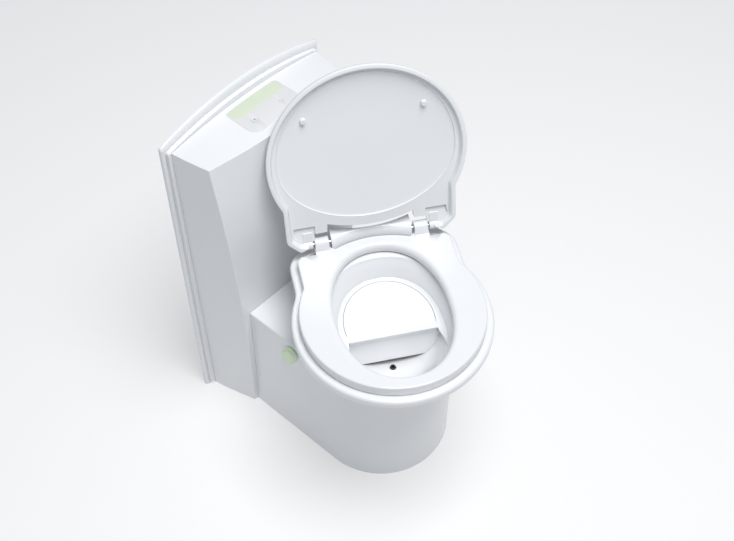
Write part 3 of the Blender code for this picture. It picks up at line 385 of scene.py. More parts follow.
def eared_ring(radius, half, corner_y, rear_y, z, inset=0.0, count=ROUND, span=1):
    reach = eared_reach(radius - inset, half - inset, corner_y - 0.4 * inset, rear_y - inset, count, span)
    return ring_on_rays(reach, z)


def ring_on_rays(reach, z):
    ring = []
    for i, r in enumerate(reach):
        angle = 2 * math.pi * i / len(reach)
        ring.append((r * math.cos(angle), EAR_START_Y + r * math.sin(angle), z))
    return ring


def egg_ring(centre_y, half, front, rear, z, power=2.2, count=ROUND):
    ring = []
    for i in range(count):
        angle = 2 * math.pi * i / count
        c, s = math.cos(angle), math.sin(angle)
        length = rear if s > 0 else front
        x = half * math.copysign(abs(c) ** (2 / power), c)
        ring.append((x, centre_y + length * math.copysign(abs(s) ** (2 / power), s), z))
    return ring


def seat_rear_y(x, clearance=0.0):
    return SEAT_REAR_CENTRE_Y + math.sqrt((SEAT_REAR_R + clearance) ** 2 - x * x)


def between(ring_a, ring_b, t):
    """The ring that is a share t of the way from ring_a to ring_b."""
    return [Vector(a).lerp(Vector(b), t) for a, b in zip(ring_a, ring_b)]


def d_outline(half, rear_y, inset=0.0, count=72):
    """Straight sides from rear_y to the origin's line, and a half circle in front of it."""
    half -= inset
    side = [rear_y * (1 - i / 6) for i in range(6)]
    angles = [-math.pi * i / count for i in range(count + 1)]
    arc = [(half * math.cos(a), half * math.sin(a)) for a in angles]
    return [(half, y) for y in side] + arc + [(-half, y) for y in reversed(side)]


def corner(centre, radius, start, stop, steps=6):
    """(x, y) points round a corner, from one angle in degrees to another."""
    angles = [math.radians(start + (stop - start) * i / steps) for i in range(steps + 1)]
    return [(centre[0] + radius * math.cos(a), centre[1] + radius * math.sin(a)) for a in angles]


# ---------------------------------------------------------------- the fixed body
def flange_ring(inset, y, lift=0.0):
    """The flange's outline: straight sides, small rounded corners and an arched top."""
    half, radius = FLANGE_HALF - inset, 0.006
    top = FLANGE_CORNER_Z - 0.8 * inset + lift
    points = [(-half, 0), (half, 0)]
    points += [(half, (top - radius) * i / 8) for i in range(1, 8)]
    points += corner((half - radius, top - radius), radius, 0, 80)
    for i in range(1, 48):
        u = (1 - 2 * i / 48) * (1 - radius / half)
        points.append((half * u, top + (FLANGE_RISE + lift) * (1 - u * u) - 0.0006))
    points += corner((-half + radius, top - radius), radius, 100, 180)
    points += [(-half, (top - radius) * (1 - i / 8)) for i in range(1, 8)]
    return [(x, y, z) for x, z in points]


def wall_flange():
    """The two-step frame behind the housing: a plate with a round edge, and a sharper one in front."""
    middle = WALL_Y - FLANGE_STEP
    front = WALL_Y - 2 * FLANGE_STEP
    edge, front_edge = 0.0050, 0.0018
    rings = [flange_ring(0.0, WALL_Y, lift=FLANGE_LIFT)]
    for a in arc_steps(7):
        inset, out = edge * (1 - math.cos(a)), edge * (1 - math.sin(a))
        rings.append(flange_ring(inset, middle + out, lift=FLANGE_LIFT * (1 - inset / FLANGE_STEP)))
    rings += [flange_ring(0.0068, middle), flange_ring(0.0072, middle + 0.0010)]
    rings += [flange_ring(0.0082, middle + 0.0010), flange_ring(0.0084, middle - 0.0005)]
    for a in arc_steps():
        inset, out = front_edge * (1 - math.cos(a)), front_edge * (1 - math.sin(a))
        rings.append(flange_ring(0.0084 + inset, front + out))
    made = loft("wall_frame", rings, WHITE)
    inside = [(-0.165, -0.02), (0.165, -0.02)]
    inside += corner((0.155, 0.690), 0.010, 0, 90) + corner((-0.155, 0.690), 0.010, 90, 180)
    notches = []
    for x in (-0.190, 0.190):
        low, high = (x - 0.005, front - 0.01, -0.01), (x + 0.005, middle, 0.009)
        notches.append(block("foot_notch", low, high, WHITE))
    opening = prism("flange_opening", inside, front - 0.01, WALL_Y + 0.01, WHITE, "y")
    boolean(made, "DIFFERENCE", (opening, *notches), "MANIFOLD")
    return stands_for(rounded(made, 0.0008, 2, 50), "housing", "white_plastic", "wall_flange")


def arc_steps(steps=5):
    """Angles from 0 to a quarter turn."""
    return [math.pi / 2 * i / steps for i in range(steps + 1)]


def front_y(u, z):
    """The housing's front face at u across it, from -1 to 1: a faint crease crosses it half way up."""
    corner_y = FRONT_CORNER_Y + FRONT_LEAN * (z - FRONT_CORNER_Z) ** 2
    crease = 0.0016 * smoothstep((z - 0.555) / 0.02)
    return FRONT_MID_Y + (corner_y - FRONT_MID_Y) * u * u + crease * (1 - 0.6 * abs(u))


def housing_block(name, inset, rear_y, floor_z, stations=41, levels=36):
    """The housing's outer form, or the space inside it, lofted from side to side."""
    rings = []
    for i in range(stations):
        u = -1 + 2 * i / (stations - 1)
        top = HOUSING_TOP_Z + HOUSING_CROWN * (1 - u * u) - inset
        front, back = [], []
        for k in range(levels + 1):
            z = floor_z + (top - floor_z) * k / levels
            height = z / HOUSING_TOP_Z
            half_front = 0.158 + 0.016 * height - inset
            half_rear = 0.184 + 0.004 * height - inset
            front.append((u * half_front, front_y(u, z) + inset, z))
            back.append((u * half_rear, rear_y, z))
        rings.append(front + back[::-1])
    return side_capped(name, rings, levels + 1)


def side_capped(name, rings, levels):
    """A loft whose end faces are strips from their front points to their rear ones, bowed outward."""
    bm = bmesh.new()
    rows = [[bm.verts.new(point) for point in ring] for ring in rings]
    for low, high in zip(rows, rows[1:]):
        for i in range(len(low)):
            j = (i + 1) % len(low)
            bm.faces.new((low[i], low[j], high[j], high[i]))
    for row, side in ((rows[0], -1), (rows[-1], 1)):
        front, back = row[:levels], row[: levels - 1 : -1]
        columns = [front]
        for share, bow in ((0.33, 0.0008), (0.66, 0.0012)):
            outward = Vector((side * bow, 0, 0))
            columns.append([bm.verts.new(a.co.lerp(b.co, share) + outward) for a, b in zip(front, back)])
        columns.append(back)
        for left, right in zip(columns, columns[1:]):
            for k in range(levels - 1):
                bm.faces.new((left[k], left[k + 1], right[k + 1], right[k]))
        bm.faces.new([column[0] for column in columns])
        bm.faces.new([column[-1] for column in columns])
    bmesh.ops.remove_doubles(bm, verts=bm.verts, dist=1e-6)
    return piece(name, bm, WHITE)


def rear_housing():
    shell = housing_block("housing_cover", 0.0, HOUSING_REAR_Y, 0.0)
    rounded(shell, 0.0028, 4, 40)
    apply_modifiers(shell)
    inside = housing_block("housing_inside", WALL, HOUSING_REAR_Y + 0.02, -0.02, 13, 8)
    passage = block("cassette_passage", (-0.1425, 0.20, -0.02), (0.1425, 0.30, 0.316), WHITE)
    recess = prism("console_recess", console_outline(0.0006), 0.70, 0.80, WHITE)
    cut(shell, inside, passage, recess)
    flat = shell.modifiers.new("flat", "WEIGHTED_NORMAL")
    flat.keep_sharp = True
    return stands_for(shell, "housing", "white_plastic", "rear_housing")


def console_outline(grow):
    """The control panel: nearly straight behind, rounded and bowed in front."""
    points = corner((0.058, 0.3230), 0.006 + grow, 90, 0)
    points += corner((0.0455, 0.2760), 0.0185 + grow, 0, -62, 8)
    points += corner((-0.0390, 0.2720), 0.0250 + grow, -108, -180, 8)
    points += corner((-0.058, 0.3230), 0.006 + grow, 180, 90)
    return points


def band_outline():
    """The green band along the panel's rear, with a cut front left corner and a round right end."""
    points = corner((0.0560, 0.3220), 0.0065, 90, 0)
    points += corner((0.0500, 0.3140), 0.0125, 0, -75, 8)
    points += [(0.0330, 0.3012), (-0.0380, 0.3000)]
    points += corner((-0.0480, 0.3140), 0.0140, -95, -180, 8)
    points += corner((-0.0560, 0.3220), 0.0060, 180, 90)
    return points


def on_crown(made):
    """Bends a flat plate at the crown's height so that it follows the housing's top."""
    bm = bmesh.new()
    bm.from_mesh(made.data)
    for i in range(-10, 11):
        parts = [*bm.verts, *bm.edges, *bm.faces]
        bmesh.ops.bisect_plane(bm, geom=parts, plane_co=(i * 0.0062, 0, 0), plane_no=(1, 0, 0))
    for vertex in bm.verts:
        vertex.co.z -= HOUSING_CROWN * (vertex.co.x / CROWN_HALF) ** 2
    bm.to_mesh(made.data)
    bm.free()
    soften(made)
    return made


def console():
    top = HOUSING_TOP_Z + HOUSING_CROWN
    panel = prism("console_plate", console_outline(-GAP), top - 0.0070, top, PANEL)
    join(panel, prism("console_skin", console_outline(0.0012), top - 0.0002, top + 0.0006, PANEL))
    holes = [
        rod("button_hole", (*BUTTON_AT, 0), 0.0072, top - 0.02, top + 0.01, PANEL),
        rod("lamp_hole", (*LAMP_AT, 0), 0.0037, top - 0.02, top + 0.01, PANEL),
    ]
    cut(panel, *holes)
    on_crown(rounded_now(panel, 0.0005))
    stands_for(panel, "housing", "grey_panel", "console_panel")
    band = prism("console_stripe", band_outline(), top + 0.0001, top + 0.0010, BAND)
    on_crown(rounded_now(band, 0.0003))
    stands_for(band, "housing", "green_plastic", "console_band")
    profile = (
        (0.0034, top - 0.0100), (0.0034, top + 0.0002), (0.0030, top + 0.0006), (0.0014, top + 0.0010),
    )
    lens = turned("water_level_lens", (*LAMP_AT, -0.0003), profile, LENS, count=32)
    stands_for(lens, "housing", "lens", "level_lamp")
    rise = -0.0008  # the button sits a little below the panel
    profile = (
        (0.0071, top - 0.0060), (0.0071, top + 0.0010), (0.0068, top + 0.0013), (0.0058, top + 0.0012),
        (0.0050, top + 0.0009), (0.0020, top + 0.0007), (0.0004, top + 0.0007),
    )
    button = turned("flush_button_cap", (*BUTTON_AT, rise), profile, PANEL)
    stands_for(button, "button", "grey_panel", "flush_button")
    drop = [(0.0, 0.0034), *corner((0, -0.0004), 0.0017, 20, -200, 12)]
    outline = [(BUTTON_AT[0] + x, BUTTON_AT[1] + y) for x, y in drop]
    icon = prism("flush_icon", outline, top + 0.0004 + rise, top + 0.0009 + rise, ICON)
    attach(icon, "button")


def pedestal():
    """The front shell with its flat deck, cut back to follow the housing."""
    rings = []
    deck_edge = fillet(DECK_Z - 0.0032, 0.0, 0.0032, 0, 90)
    for z, inset in ((0.0, 0.0008), (0.0010, 0.0), (0.16, 0.0), *deck_edge):
        rings.append([(x, y, z) for x, y in d_outline(PEDESTAL_HALF, 0.245, inset)])
    shell = loft("pedestal_cover", rings, WHITE)
    inner = [(x, y + 0.01) for x, y in d_outline(PEDESTAL_HALF, 0.245, WALL)]
    cut(
        shell,
        prism("pedestal_inside", inner, -0.02, DECK_Z - WALL, WHITE),
        rod("deck_hole", (0, 0, 0), 0.118, DECK_Z - 0.02, DECK_Z + 0.02, WHITE, count=96),
        rod("knob_bore", (0, KNOB_Y, KNOB_Z), 0.0094, -PEDESTAL_HALF - 0.02, -0.13, WHITE, "x"),
        housing_block("housing_room", -GAP, HOUSING_REAR_Y, -0.02, 21, 18),
    )
    return stands_for(rounded(shell, 0.0008, 2, 45), "housing", "white_plastic", "pedestal_shell")


# ---------------------------------------------------------------- the knob
def knob_ring(scale, x, count=96):
    """A blunt lever, leaning forward at its top."""
    ring = []
    for i in range(count):
        a = 2 * math.pi * i / count
        c, s = math.cos(a), math.sin(a)
        across = KNOB_HALF[0] * math.copysign(abs(c) ** 0.72, c) * scale
        along = KNOB_HALF[1] * math.copysign(abs(s) ** 0.72, s) * scale
        y = across * math.cos(KNOB_LEAN) - along * math.sin(KNOB_LEAN)
        z = across * math.sin(KNOB_LEAN) + along * math.cos(KNOB_LEAN)
        ring.append((x, KNOB_Y + y, KNOB_Z + z))
    return ring


KNOB_STEPS = (  # scale and distance from the pedestal
    (0.955, 0.0006), (0.985, 0.0010), (1.00, 0.0022), (1.00, 0.0054), (0.985, 0.0066), (0.955, 0.0072),
    (0.90, 0.0073), (0.865, 0.0073), (0.850, 0.0077), (0.835, 0.0092), (0.800, 0.0099), (0.73, 0.0101),
    (0.40, 0.0102), (0.10, 0.0102),
)


def knob():
    rings = [knob_ring(scale, -PEDESTAL_HALF - out) for scale, out in KNOB_STEPS]
    cap = loft("valve_knob_grip", rings, GREEN)
    bore = rod("knob_bore", (0, KNOB_Y, KNOB_Z), 0.0053, -PEDESTAL_HALF - 0.0072, -0.13, GREEN, "x")
    return stands_for(cut(cap, bore), "knob", "green_plastic", "valve_knob")


# ---------------------------------------------------------------- the bowl
def rim_ring(z, inset=0.0):
    return eared_ring(RIM_R, 0.167, 0.089, 0.136, z, inset, span=2)


BOWL_INSIDE = (  # centre y, half width, half length in front, half length behind, z, power
    (-0.085, 0.1215, 0.1545, 0.1490, 0.4700, 2.2),
    (-0.085, 0.1130, 0.1440, 0.1400, 0.456, 2.2),
    (-0.085, 0.1040, 0.1330, 0.1335, 0.4400, 2.2),
    (-0.084, 0.1005, 0.1290, 0.1300, 0.4310, 2.2),
    (-0.082, 0.0975, 0.1240, 0.1250, 0.418, 2.2),
    (-0.077, 0.0910, 0.1160, 0.1160, 0.400, 2.2),
    (-0.070, 0.0830, 0.1070, 0.1050, 0.380, 2.2),
    (-0.060, 0.0700, 0.0980, 0.0900, 0.362, 2.15),
    (-0.040, 0.0580, 0.0860, 0.0800, 0.350, 2.1),
    (-0.010, 0.0480, 0.0520, 0.0520, 0.3395, 2.0),
    (0.0, 0.0465, 0.0465, 0.0465, 0.3300, 2.0),
    (0.0, 0.0460, 0.0460, 0.0460, 0.2700, 2.0),
    (0.0, 0.0460, 0.0460, 0.0460, 0.2503, 2.0),
)


def inside_ring(row, grow=0.0, drop=0.0):
    centre, half, front, rear, z, power = row
    return egg_ring(centre, half + grow, front + grow, rear + grow, z - drop, power)


def shelf_outline_point(x, y, grow=0.0):
    """The point of the shelf's rear arc that lies the same way from its middle as (x, y)."""
    angle = math.atan2((y - SHELF_MIDDLE_Y) / SHELF_REACH, x / SHELF_HALF)
    return (SHELF_HALF + grow) * math.cos(angle), SHELF_MIDDLE_Y + (SHELF_REACH + grow) * math.sin(angle)


def ledge_ring(ring, z):
    """A ring drawn in to the shelf's edge behind its lip, and left on the bowl's wall in front."""
    made = []
    for x, y, _ in ring:
        share = smoothstep((y + 0.140) / 0.055)
        sx, sy = shelf_outline_point(x, y, 0.0009)
        made.append((x + (sx - x) * share, y + (sy - y) * share, z))
    return made


def bowl_liner():
    """The bowl with its rim: a bead round the edge, a ledge round the shelf, the sump and the outlet."""
    rows = smooth_curve(BOWL_INSIDE, 4)
    inside = [inside_ring(row) for row in rows]
    level = next(i for i, row in enumerate(rows) if row[4] < SHELF_Z + 0.0015)
    wall = inside[level]
    ledge = []
    for share in (0.25, 0.5, 0.75, 0.93, 1.0):
        z = SHELF_Z + 0.0035 * (1 - share) ** 2 + 0.0001
        ledge.append(between([(x, y, z) for x, y, _ in wall], ledge_ring(wall, z), share))
    ledge += [ledge_ring(wall, SHELF_Z - 0.0006), ledge_ring(wall, SHELF_Z - 0.0045)]
    below = [(x, y, SHELF_Z - 0.0060) for x, y, _ in wall]
    back = [between(ledge_ring(wall, SHELF_Z - 0.0050), below, share) for share in (0.5, 0.9)]
    upper, lower = inside[:level], inside[level + 2 :]
    mouth = []
    for z, grow in ((RIM_Z, 0.0050), (RIM_Z - 0.0006, 0.0026), (RIM_Z - 0.0022, 0.0008)):
        mouth.append(inside_ring((*BOWL_INSIDE[0][:4], z, 2.2), grow))
    outside = [inside_ring(row, WALL) for row in reversed(rows[2:-9])]
    pipe = [inside_ring(rows[-1], WALL), inside_ring(rows[-9], WALL, 0.002)]
    edge = [
        rim_ring(RIM_Z - WALL, WALL), rim_ring(RIM_Z - 0.0150, WALL), rim_ring(RIM_Z - 0.0162, 0.0032),
        rim_ring(RIM_Z - 0.0162, 0.0012), rim_ring(RIM_Z - 0.0155, 0.0003), rim_ring(RIM_Z - 0.0140),
    ]
    edge += [rim_ring(z, inset) for z, inset in fillet(RIM_Z - 0.0062, 0.0, 0.0062, 0, 90, 7)]
    edge += [rim_ring(RIM_Z - 0.0004, 0.0085), rim_ring(RIM_Z - 0.0004, 0.0120)]
    under = [inside_ring((*BOWL_INSIDE[0][:4], RIM_Z - WALL, 2.2), WALL + 0.001)]
    rings = mouth + upper + ledge + back + lower + pipe + outside + under + edge
    bowl = loft("bowl_and_rim", rings, BOWL_WHITE, closed=True)
    cut(bowl, rod("jet_bore", JET_AT, 0.0066, 0.325, 0.395, BOWL_WHITE, count=40))
    return stands_for(with_bowl(bowl), "bowl", "white_plastic", "bowl_liner")


def bowl_skin():
    levels = (  # centre y, half width, front, rear, z, power
        (-0.050, 0.1610, 0.2080, 0.1790, 0.4700, 2.30),
        (-0.050, 0.1600, 0.2040, 0.1780, 0.4500, 2.25),
        (-0.048, 0.1570, 0.1900, 0.1740, 0.4300, 2.20),
        (-0.042, 0.1500, 0.1700, 0.1660, 0.4000, 2.15),
        (-0.030, 0.1410, 0.1480, 0.1550, 0.3680, 2.10),
        (-0.012, 0.1340, 0.1320, 0.1450, 0.3420, 2.05),
        (-0.002, 0.1305, 0.1305, 0.1335, 0.3310, 2.0),
        (0.0, 0.1295, 0.1295, 0.1295, 0.3297, 2.0),
    )
    rows = smooth_curve(levels, 5)
    outer = [inside_ring(row) for row in rows]
    inner = [inside_ring(row, -WALL) for row in rows]
    skin = loft("bowl_casing", outer + inner[::-1], WHITE, closed=True)
    return stands_for(with_bowl(skin), "bowl", "white_plastic", "bowl_skin")


def wall_half(y, z):
    """Half the bowl's width inside at a height, a little into its wall."""
    rows = smooth_curve(BOWL_INSIDE, 4)
    centre, half, front, rear, _, power = min(rows, key=lambda row: abs(row[4] - z))
    reach = front if y < centre else rear
    return half * (1 - (abs(y - centre) / reach) ** power) ** (1 / power) + 0.0008


def shelf():
    """The D-shaped shelf, its stepped lip, and the apron that hangs from the lip down to the sump."""
    rear = []
    for i in range(73):
        a = math.pi * i / 72
        y = SHELF_MIDDLE_Y + SHELF_REACH * math.sin(a)
        rear.append((SHELF_HALF * math.cos(a), max(y, SHELF_LIP_Y + 0.004)))
    outline = rear + [(-0.0862, SHELF_LIP_Y), (0.0862, SHELF_LIP_Y)]
    plate = prism("shelf_plate", outline, SHELF_Z - 0.004, SHELF_Z, BOWL_WHITE)
    section = [
        (SHELF_LIP_Y + 0.0060, SHELF_Z - 0.0035), (SHELF_LIP_Y + 0.0060, SHELF_Z - 0.0140),
        (SHELF_LIP_Y + 0.0022, SHELF_Z - 0.0146), (SHELF_LIP_Y + 0.0014, SHELF_Z - 0.0135),
        (SHELF_LIP_Y + 0.0014, SHELF_Z - 0.0100), (SHELF_LIP_Y, SHELF_Z - 0.0090),
        (SHELF_LIP_Y, SHELF_Z - 0.0010),
    ]
    lip = prism("shelf_lip", section, -0.0855, 0.0855, BOWL_WHITE, "x")
    apron = []
    for i in range(9):
        z = APRON_TOP_Z + (APRON_FOOT_Z - APRON_TOP_Z) * i / 8
        y = SHELF_LIP_Y + 0.0014 - APRON_SLOPE * smoothstep(i / 8)
        front, behind = wall_half(y, z), wall_half(y + APRON_THICK, z)
        apron.append([(-front, y, z), (front, y, z)])
        apron[-1] += [(behind, y + APRON_THICK, z), (-behind, y + APRON_THICK, z)]
    join(plate, lip, loft("shelf_apron", apron, BOWL_WHITE))
    return stands_for(with_bowl(rounded(plate, 0.0016, 3, 35)), "bowl", "white_plastic", "bowl_shelf")


def flush_jet():
    profile = (
        (0.0034, 0.3360), (0.0054, 0.3360), (0.0054, 0.3500), (0.0050, 0.3508), (0.0042, 0.3510),
        (0.0034, 0.3495),
    )
    jet = turned("jet_nozzle", JET_AT, profile, DARK, closed=True)
    return stands_for(with_bowl(jet), "bowl", "dark_plastic", "flush_jet")


def hinge_block():
    """The bow-tie block behind the seat: its top climbs from the seat's edge to a waisted rear edge."""
    half, foot_z, edge_z = 0.0799, 0.4762, 0.4972
    rings = []
    for i in range(49):
        x = half * (1 - i / 24)
        end = (abs(x) / half) ** 2
        front = seat_rear_y(x, 0.0016)
        rear = 0.1136 + 0.0110 * end
        rear_z = 0.5155 + 0.0045 * end
        ring = [(x, rear, foot_z), (x, front, foot_z), (x, front, edge_z - 0.0007)]
        for k in range(1, 15):
            t = k / 15
            rise = math.sin(math.pi / 2 * t) ** 0.45
            ring.append((x, front + 0.0006 + (rear - 0.0012 - front) * t, edge_z + (rear_z - edge_z) * rise))
        ring += [(x, rear - 0.0004, rear_z - 0.0004), (x, rear, rear_z - 0.0016), (x, rear, 0.4900)]
        rings.append(ring)
    made = loft("hinge_cover", rings, WHITE)
    for side in (-1, 1):
        low, high = sorted((side * 0.0780, side * 0.0900))
        cut(made, rod("pin_bore", HINGE, PIN_BORE_R, low, high, WHITE, "x"))
    return stands_for(with_bowl(rounded(made, 0.0009, 2, 40)), "bowl", "white_plastic", "hinge_block")


def hinge_hardware():
    """Two pins that start just inside the block, and the two screws that hold it."""
    for side, word in ((-1, "left"), (1, "right")):
        ends = sorted((side * 0.0785, side * 0.1338))
        profile = ((PIN_R - 0.001, ends[0]), (PIN_R, ends[0] + 0.001), (PIN_R, ends[1] - 0.001))
        profile += ((PIN_R - 0.001, ends[1]),)
        pin = turned(f"pivot_pin_{word}", HINGE, profile, STEEL, "x")
        stands_for(with_bowl(pin), "bowl", "steel", f"hinge_pin_{word}")
        profile = (
            (0.0022, RIM_Z + 0.001), (0.0022, 0.5058), (0.0052, 0.5058), (0.0053, 0.5068),
            (0.0046, 0.5082), (0.0020, 0.5087),
        )
        screw = turned(f"block_screw_{word}", (side * 0.050, 0.1135, 0), profile, STEEL)
        cross_slots(screw, (side * 0.050, 0.1135, 0.5070), 0.0030)
        stands_for(with_bowl(screw), "bowl", "steel", f"hinge_screw_{word}")


def cross_slots(screw, centre, reach):
    """A cross recess in a screw's head."""
    x, y, z = centre
    for along_x, along_y in ((reach, 0.0006), (0.0006, reach)):
        cut(screw, block("slot", (x - along_x, y - along_y, z), (x + along_x, y + along_y, z + 0.01), STEEL))


# ---------------------------------------------------------------- the seat
def seat_reach(inset):
    """The seat's outline, ended behind by the arc that clears the hinge block."""
    count = 2 * ROUND
    reach = eared_reach(SEAT_R - inset, 0.1525 - inset, 0.0706 - 0.4 * inset, 0.1000 - inset, count, 1)
    found = []
    for i, r in enumerate(reach):
        angle = 2 * math.pi * i / count
        if math.sin(angle) > 0 and abs(r * math.cos(angle)) < 0.092:
            arc = ray_to_circle(EAR_START_Y, angle, SEAT_REAR_CENTRE_Y, SEAT_REAR_R - inset)
            edge = smoothstep((0.0900 - abs(r * math.cos(angle))) / 0.0045)
            r += (min(arc, r + 0.01) - r) * edge
        found.append(r)
    return found


def seat_ring_at(z, inset):
    return ring_on_rays(seat_reach(inset), z)


def seat_hole_at(z, grow):
    return egg_ring(-0.079, 0.1090 + grow, 0.1520 + grow, 0.1540 + grow, z, 2.15, 2 * ROUND)


def seat():
    """The seat ring with its knuckles, feet and ribs. Its thin outer skirt reaches nearly to the rim."""
    top, bottom, skirt = SEAT_TOP_Z, SEAT_BOTTOM_Z, RIM_Z + 0.0007
    rings = [seat_hole_at(bottom + 0.0012, 0.0006), seat_hole_at(bottom + 0.006, 0.0)]
    for z, grow in fillet(top - 0.0105, 0.0, 0.0105, 0, 90, 9):
        rings.append(seat_hole_at(z, grow))
    rings += [between(seat_hole_at(top, 0.0105), seat_ring_at(top, 0.0035), t) for t in (0.08, 0.5, 0.95)]
    edge = fillet(top - 0.0030, 0.0002, 0.0030, 0, 90)
    rings += [seat_ring_at(z, inset) for z, inset in reversed(edge)]
    for z, inset in ((0.0016, 0.0), (0.0004, 0.0006), (0.0, 0.0016), (0.0, 0.0042), (0.0010, 0.0050)):
        rings.append(seat_ring_at(skirt + z, inset))
    rings += [seat_ring_at(top - 0.0055, 0.0058), seat_hole_at(top - 0.0085, 0.0085)]
    for z, grow in ((0.0010, 0.0055), (0.0, 0.0045), (0.0, 0.0018)):
        rings.append(seat_hole_at(bottom + z, grow))
    ring = loft("seat_moulding", rings, WHITE, closed=True)
    for side in (-1, 1):
        low, high = sorted((side * 0.0850, side * 0.1125))
        section = [(0.0780, 0.4800), (0.0780, top - 0.0020), (0.0830, top - 0.0006)]
        section += [(HINGE.y + y, HINGE.z + z) for y, z in corner((0, 0), 0.0125, 150, -60, 14)]
        section += [(0.1000, 0.4850), (0.0950, 0.4800)]
        knuckle = prism("seat_knuckle", section, low, high, WHITE, "x")
        cut(knuckle, rod("seat_bore", HINGE, PIN_BORE_R, -0.14, 0.14, WHITE, "x"))
        join(ring, rounded_now(knuckle, 0.0014, 3, 40))
        low, high = sorted((side * 0.1136, side * 0.1700))
        cut(ring, rod("lid_room", HINGE, LID_SWEEP_R, low, high, WHITE, "x", 96))
    stands_for(with_bowl(ring), "seat", "white_plastic", "seat_ring")
    ribs()
    for i, (x, y) in enumerate(((-0.140, -0.02), (0.140, -0.02), (-0.118, -0.200), (0.118, -0.200)), 1):
        profile = (
            (0.0058, RIM_Z + GAP), (0.0066, RIM_Z + 0.0010),
            (0.0070, SEAT_BOTTOM_Z - 0.0006), (0.0055, SEAT_BOTTOM_Z - GAP),
        )
        foot = turned(f"seat_foot_{i}", (x, y, 0), profile, RUBBER)
        stands_for(with_bowl(foot), "seat", "rubber", f"seat_buffer_{i}")


def ribs():
    """Stiffening ribs in the hollow under the seat."""
    bm = bmesh.new()
    for k in range(14):
        angle = math.radians(-215 + 250 * k / 13)
        along = Vector((math.cos(angle), math.sin(angle), 0))
        across = Vector((-along.y, along.x, 0)) * 0.0009
        inner, outer = 0.124 + 0.034 * abs(along.y), 0.1665 + (0.010 if along.y < 0 else -0.012)
        corners = []
        for reach in (inner, outer):
            for z in (SEAT_BOTTOM_Z + 0.0016, SEAT_TOP_Z - 0.0060):
                end = Vector((0, -0.075, z)) + along * reach
                corners += [bm.verts.new(end - across), bm.verts.new(end + across)]
        a, b, c, d, e, f, g, h = corners
        for face in ((a, b, d, c), (e, g, h, f), (a, c, g, e), (b, f, h, d), (a, e, f, b), (c, d, h, g)):
            bm.faces.new(face)
    made = piece("seat_ribs", bm, WHITE)
    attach(with_bowl(made), "seat")


# ---------------------------------------------------------------- the lid
def lid_outline(z, inset):
    return eared_ring(LID_R, *LID_EAR, z, inset, 2 * ROUND, 1)


def dish_ring(z, scale):
    """The edge of the lid's hollow, drawn in towards its middle, with points on rays like the outline's."""
    middle = -0.0954
    start = middle + (EAR_START_Y - middle) * scale
    centre = middle + (RIM_CENTRE_Y - middle) * scale
    ring = []
    for i in range(2 * ROUND):
        angle = math.pi * i / ROUND
        c, s = math.cos(angle), math.sin(angle)
        behind = oval_reach(start - centre, c, s, 0.1712 * scale, 0.1330 * scale)
        ahead = oval_reach(start - centre, c, s, 0.1712 * scale, 0.1712 * scale)
        r = behind if start + behind * s > centre else ahead
        ring.append((r * c, start + r * s, z))
    return ring


def oval_reach(offset, c, s, half, length):
    """How far a ray from (0, offset) along (c, s) goes to an ellipse round the origin."""
    a = (c / half) ** 2 + (s / length) ** 2
    b = offset * s / length**2
    d = (offset / length) ** 2 - 1
    return (-b + math.sqrt(max(b * b - a * d, 0))) / a


def lid_rings():
    """From the middle of the lid's hollow, over its rim and up to the middle of its top."""
    steps = (0.02, 0.1, 0.2, 0.3, 0.4, 0.5, 0.6, 0.7, 0.78, 0.85, 0.91, 0.95, 0.975)
    rings = [dish_ring(0.5128 - 0.0118 * s**2.6, s) for s in steps]
    for z, scale in ((0.0016, 0.986), (0.0002, 0.990), (-0.0005, 0.994), (-0.0004, 0.998)):
        rings.append(dish_ring(LEDGE_Z + z, scale))
    inner_edge, dish_edge = lid_outline(LEDGE_Z, 0.0118), dish_ring(LEDGE_Z, 1.0)
    rings += [between(dish_edge, inner_edge, t) for t in (0.03, 0.3, 0.6, 0.92)]
    rings.append(inner_edge)
    rim = (
        (0.4975, 0.0103), (0.4895, 0.0092), (0.4878, 0.0084), (0.4870, 0.0068), (0.4870, 0.0030),
        (0.4876, 0.0010), (0.4888, 0.0002),
    )
    outside = [
        (0.4905, 0.0), (0.4970, 0.0016), (0.5015, 0.0060), (0.5055, 0.0130), (0.5085, 0.0200),
        (0.5115, 0.0300), (0.5140, 0.0420),
    ]
    rings += [lid_outline(z, inset) for z, inset in (*rim, *smooth_curve(outside, 4))]
    dome = [(x * 0.9, (y + 0.05) * 0.9 - 0.05, 0.5150) for x, y, _ in lid_outline(0, 0.045)]
    crown = ((0.5150, 1.0), (0.5162, 0.8), (0.5171, 0.6), (0.5177, 0.4), (0.5180, 0.2), (0.5180, 0.02))
    for z, scale in crown:
        rings.append([(x * scale, (y + 0.06) * scale - 0.06, z) for x, y, _ in dome])
    return rings


def lid():
    shell = loft("lid_moulding", lid_rings(), WHITE)
    cut(shell, lid_cutout(), ear_pocket(-1), ear_pocket(1))
    for side in (-1, 1):
        low, high = sorted((side * 0.1163, side * 0.1337))
        section = [(0.0700, 0.5000), (0.0700, 0.5110), (0.0800, 0.5130)]
        section += [(HINGE.y + y, HINGE.z + z) for y, z in corner((0, 0), 0.0100, 120, -150, 14)]
        knuckle = prism("lid_knuckle", section, low, high, WHITE, "x")
        cut(knuckle, rod("lid_bore", HINGE, PIN_BORE_R, -0.14, 0.14, WHITE, "x"))
        join(shell, knuckle)
    stands_for(with_lid(rounded(shell, 0.0010, 2, 42)), "lid", "white_plastic", "lid_shell")
    for side, word in ((-1, "left"), (1, "right")):
        profile = ((0.0046, SEAT_TOP_Z + GAP), (0.0052, SEAT_TOP_Z + 0.0014), (0.0068, SEAT_TOP_Z + 0.0100))
        foot = turned(f"lid_foot_{word}", (side * 0.112, -0.172, 0), profile, SOFT_WHITE)
        stands_for(with_lid(foot), "lid", "rubber", f"lid_buffer_{word}")


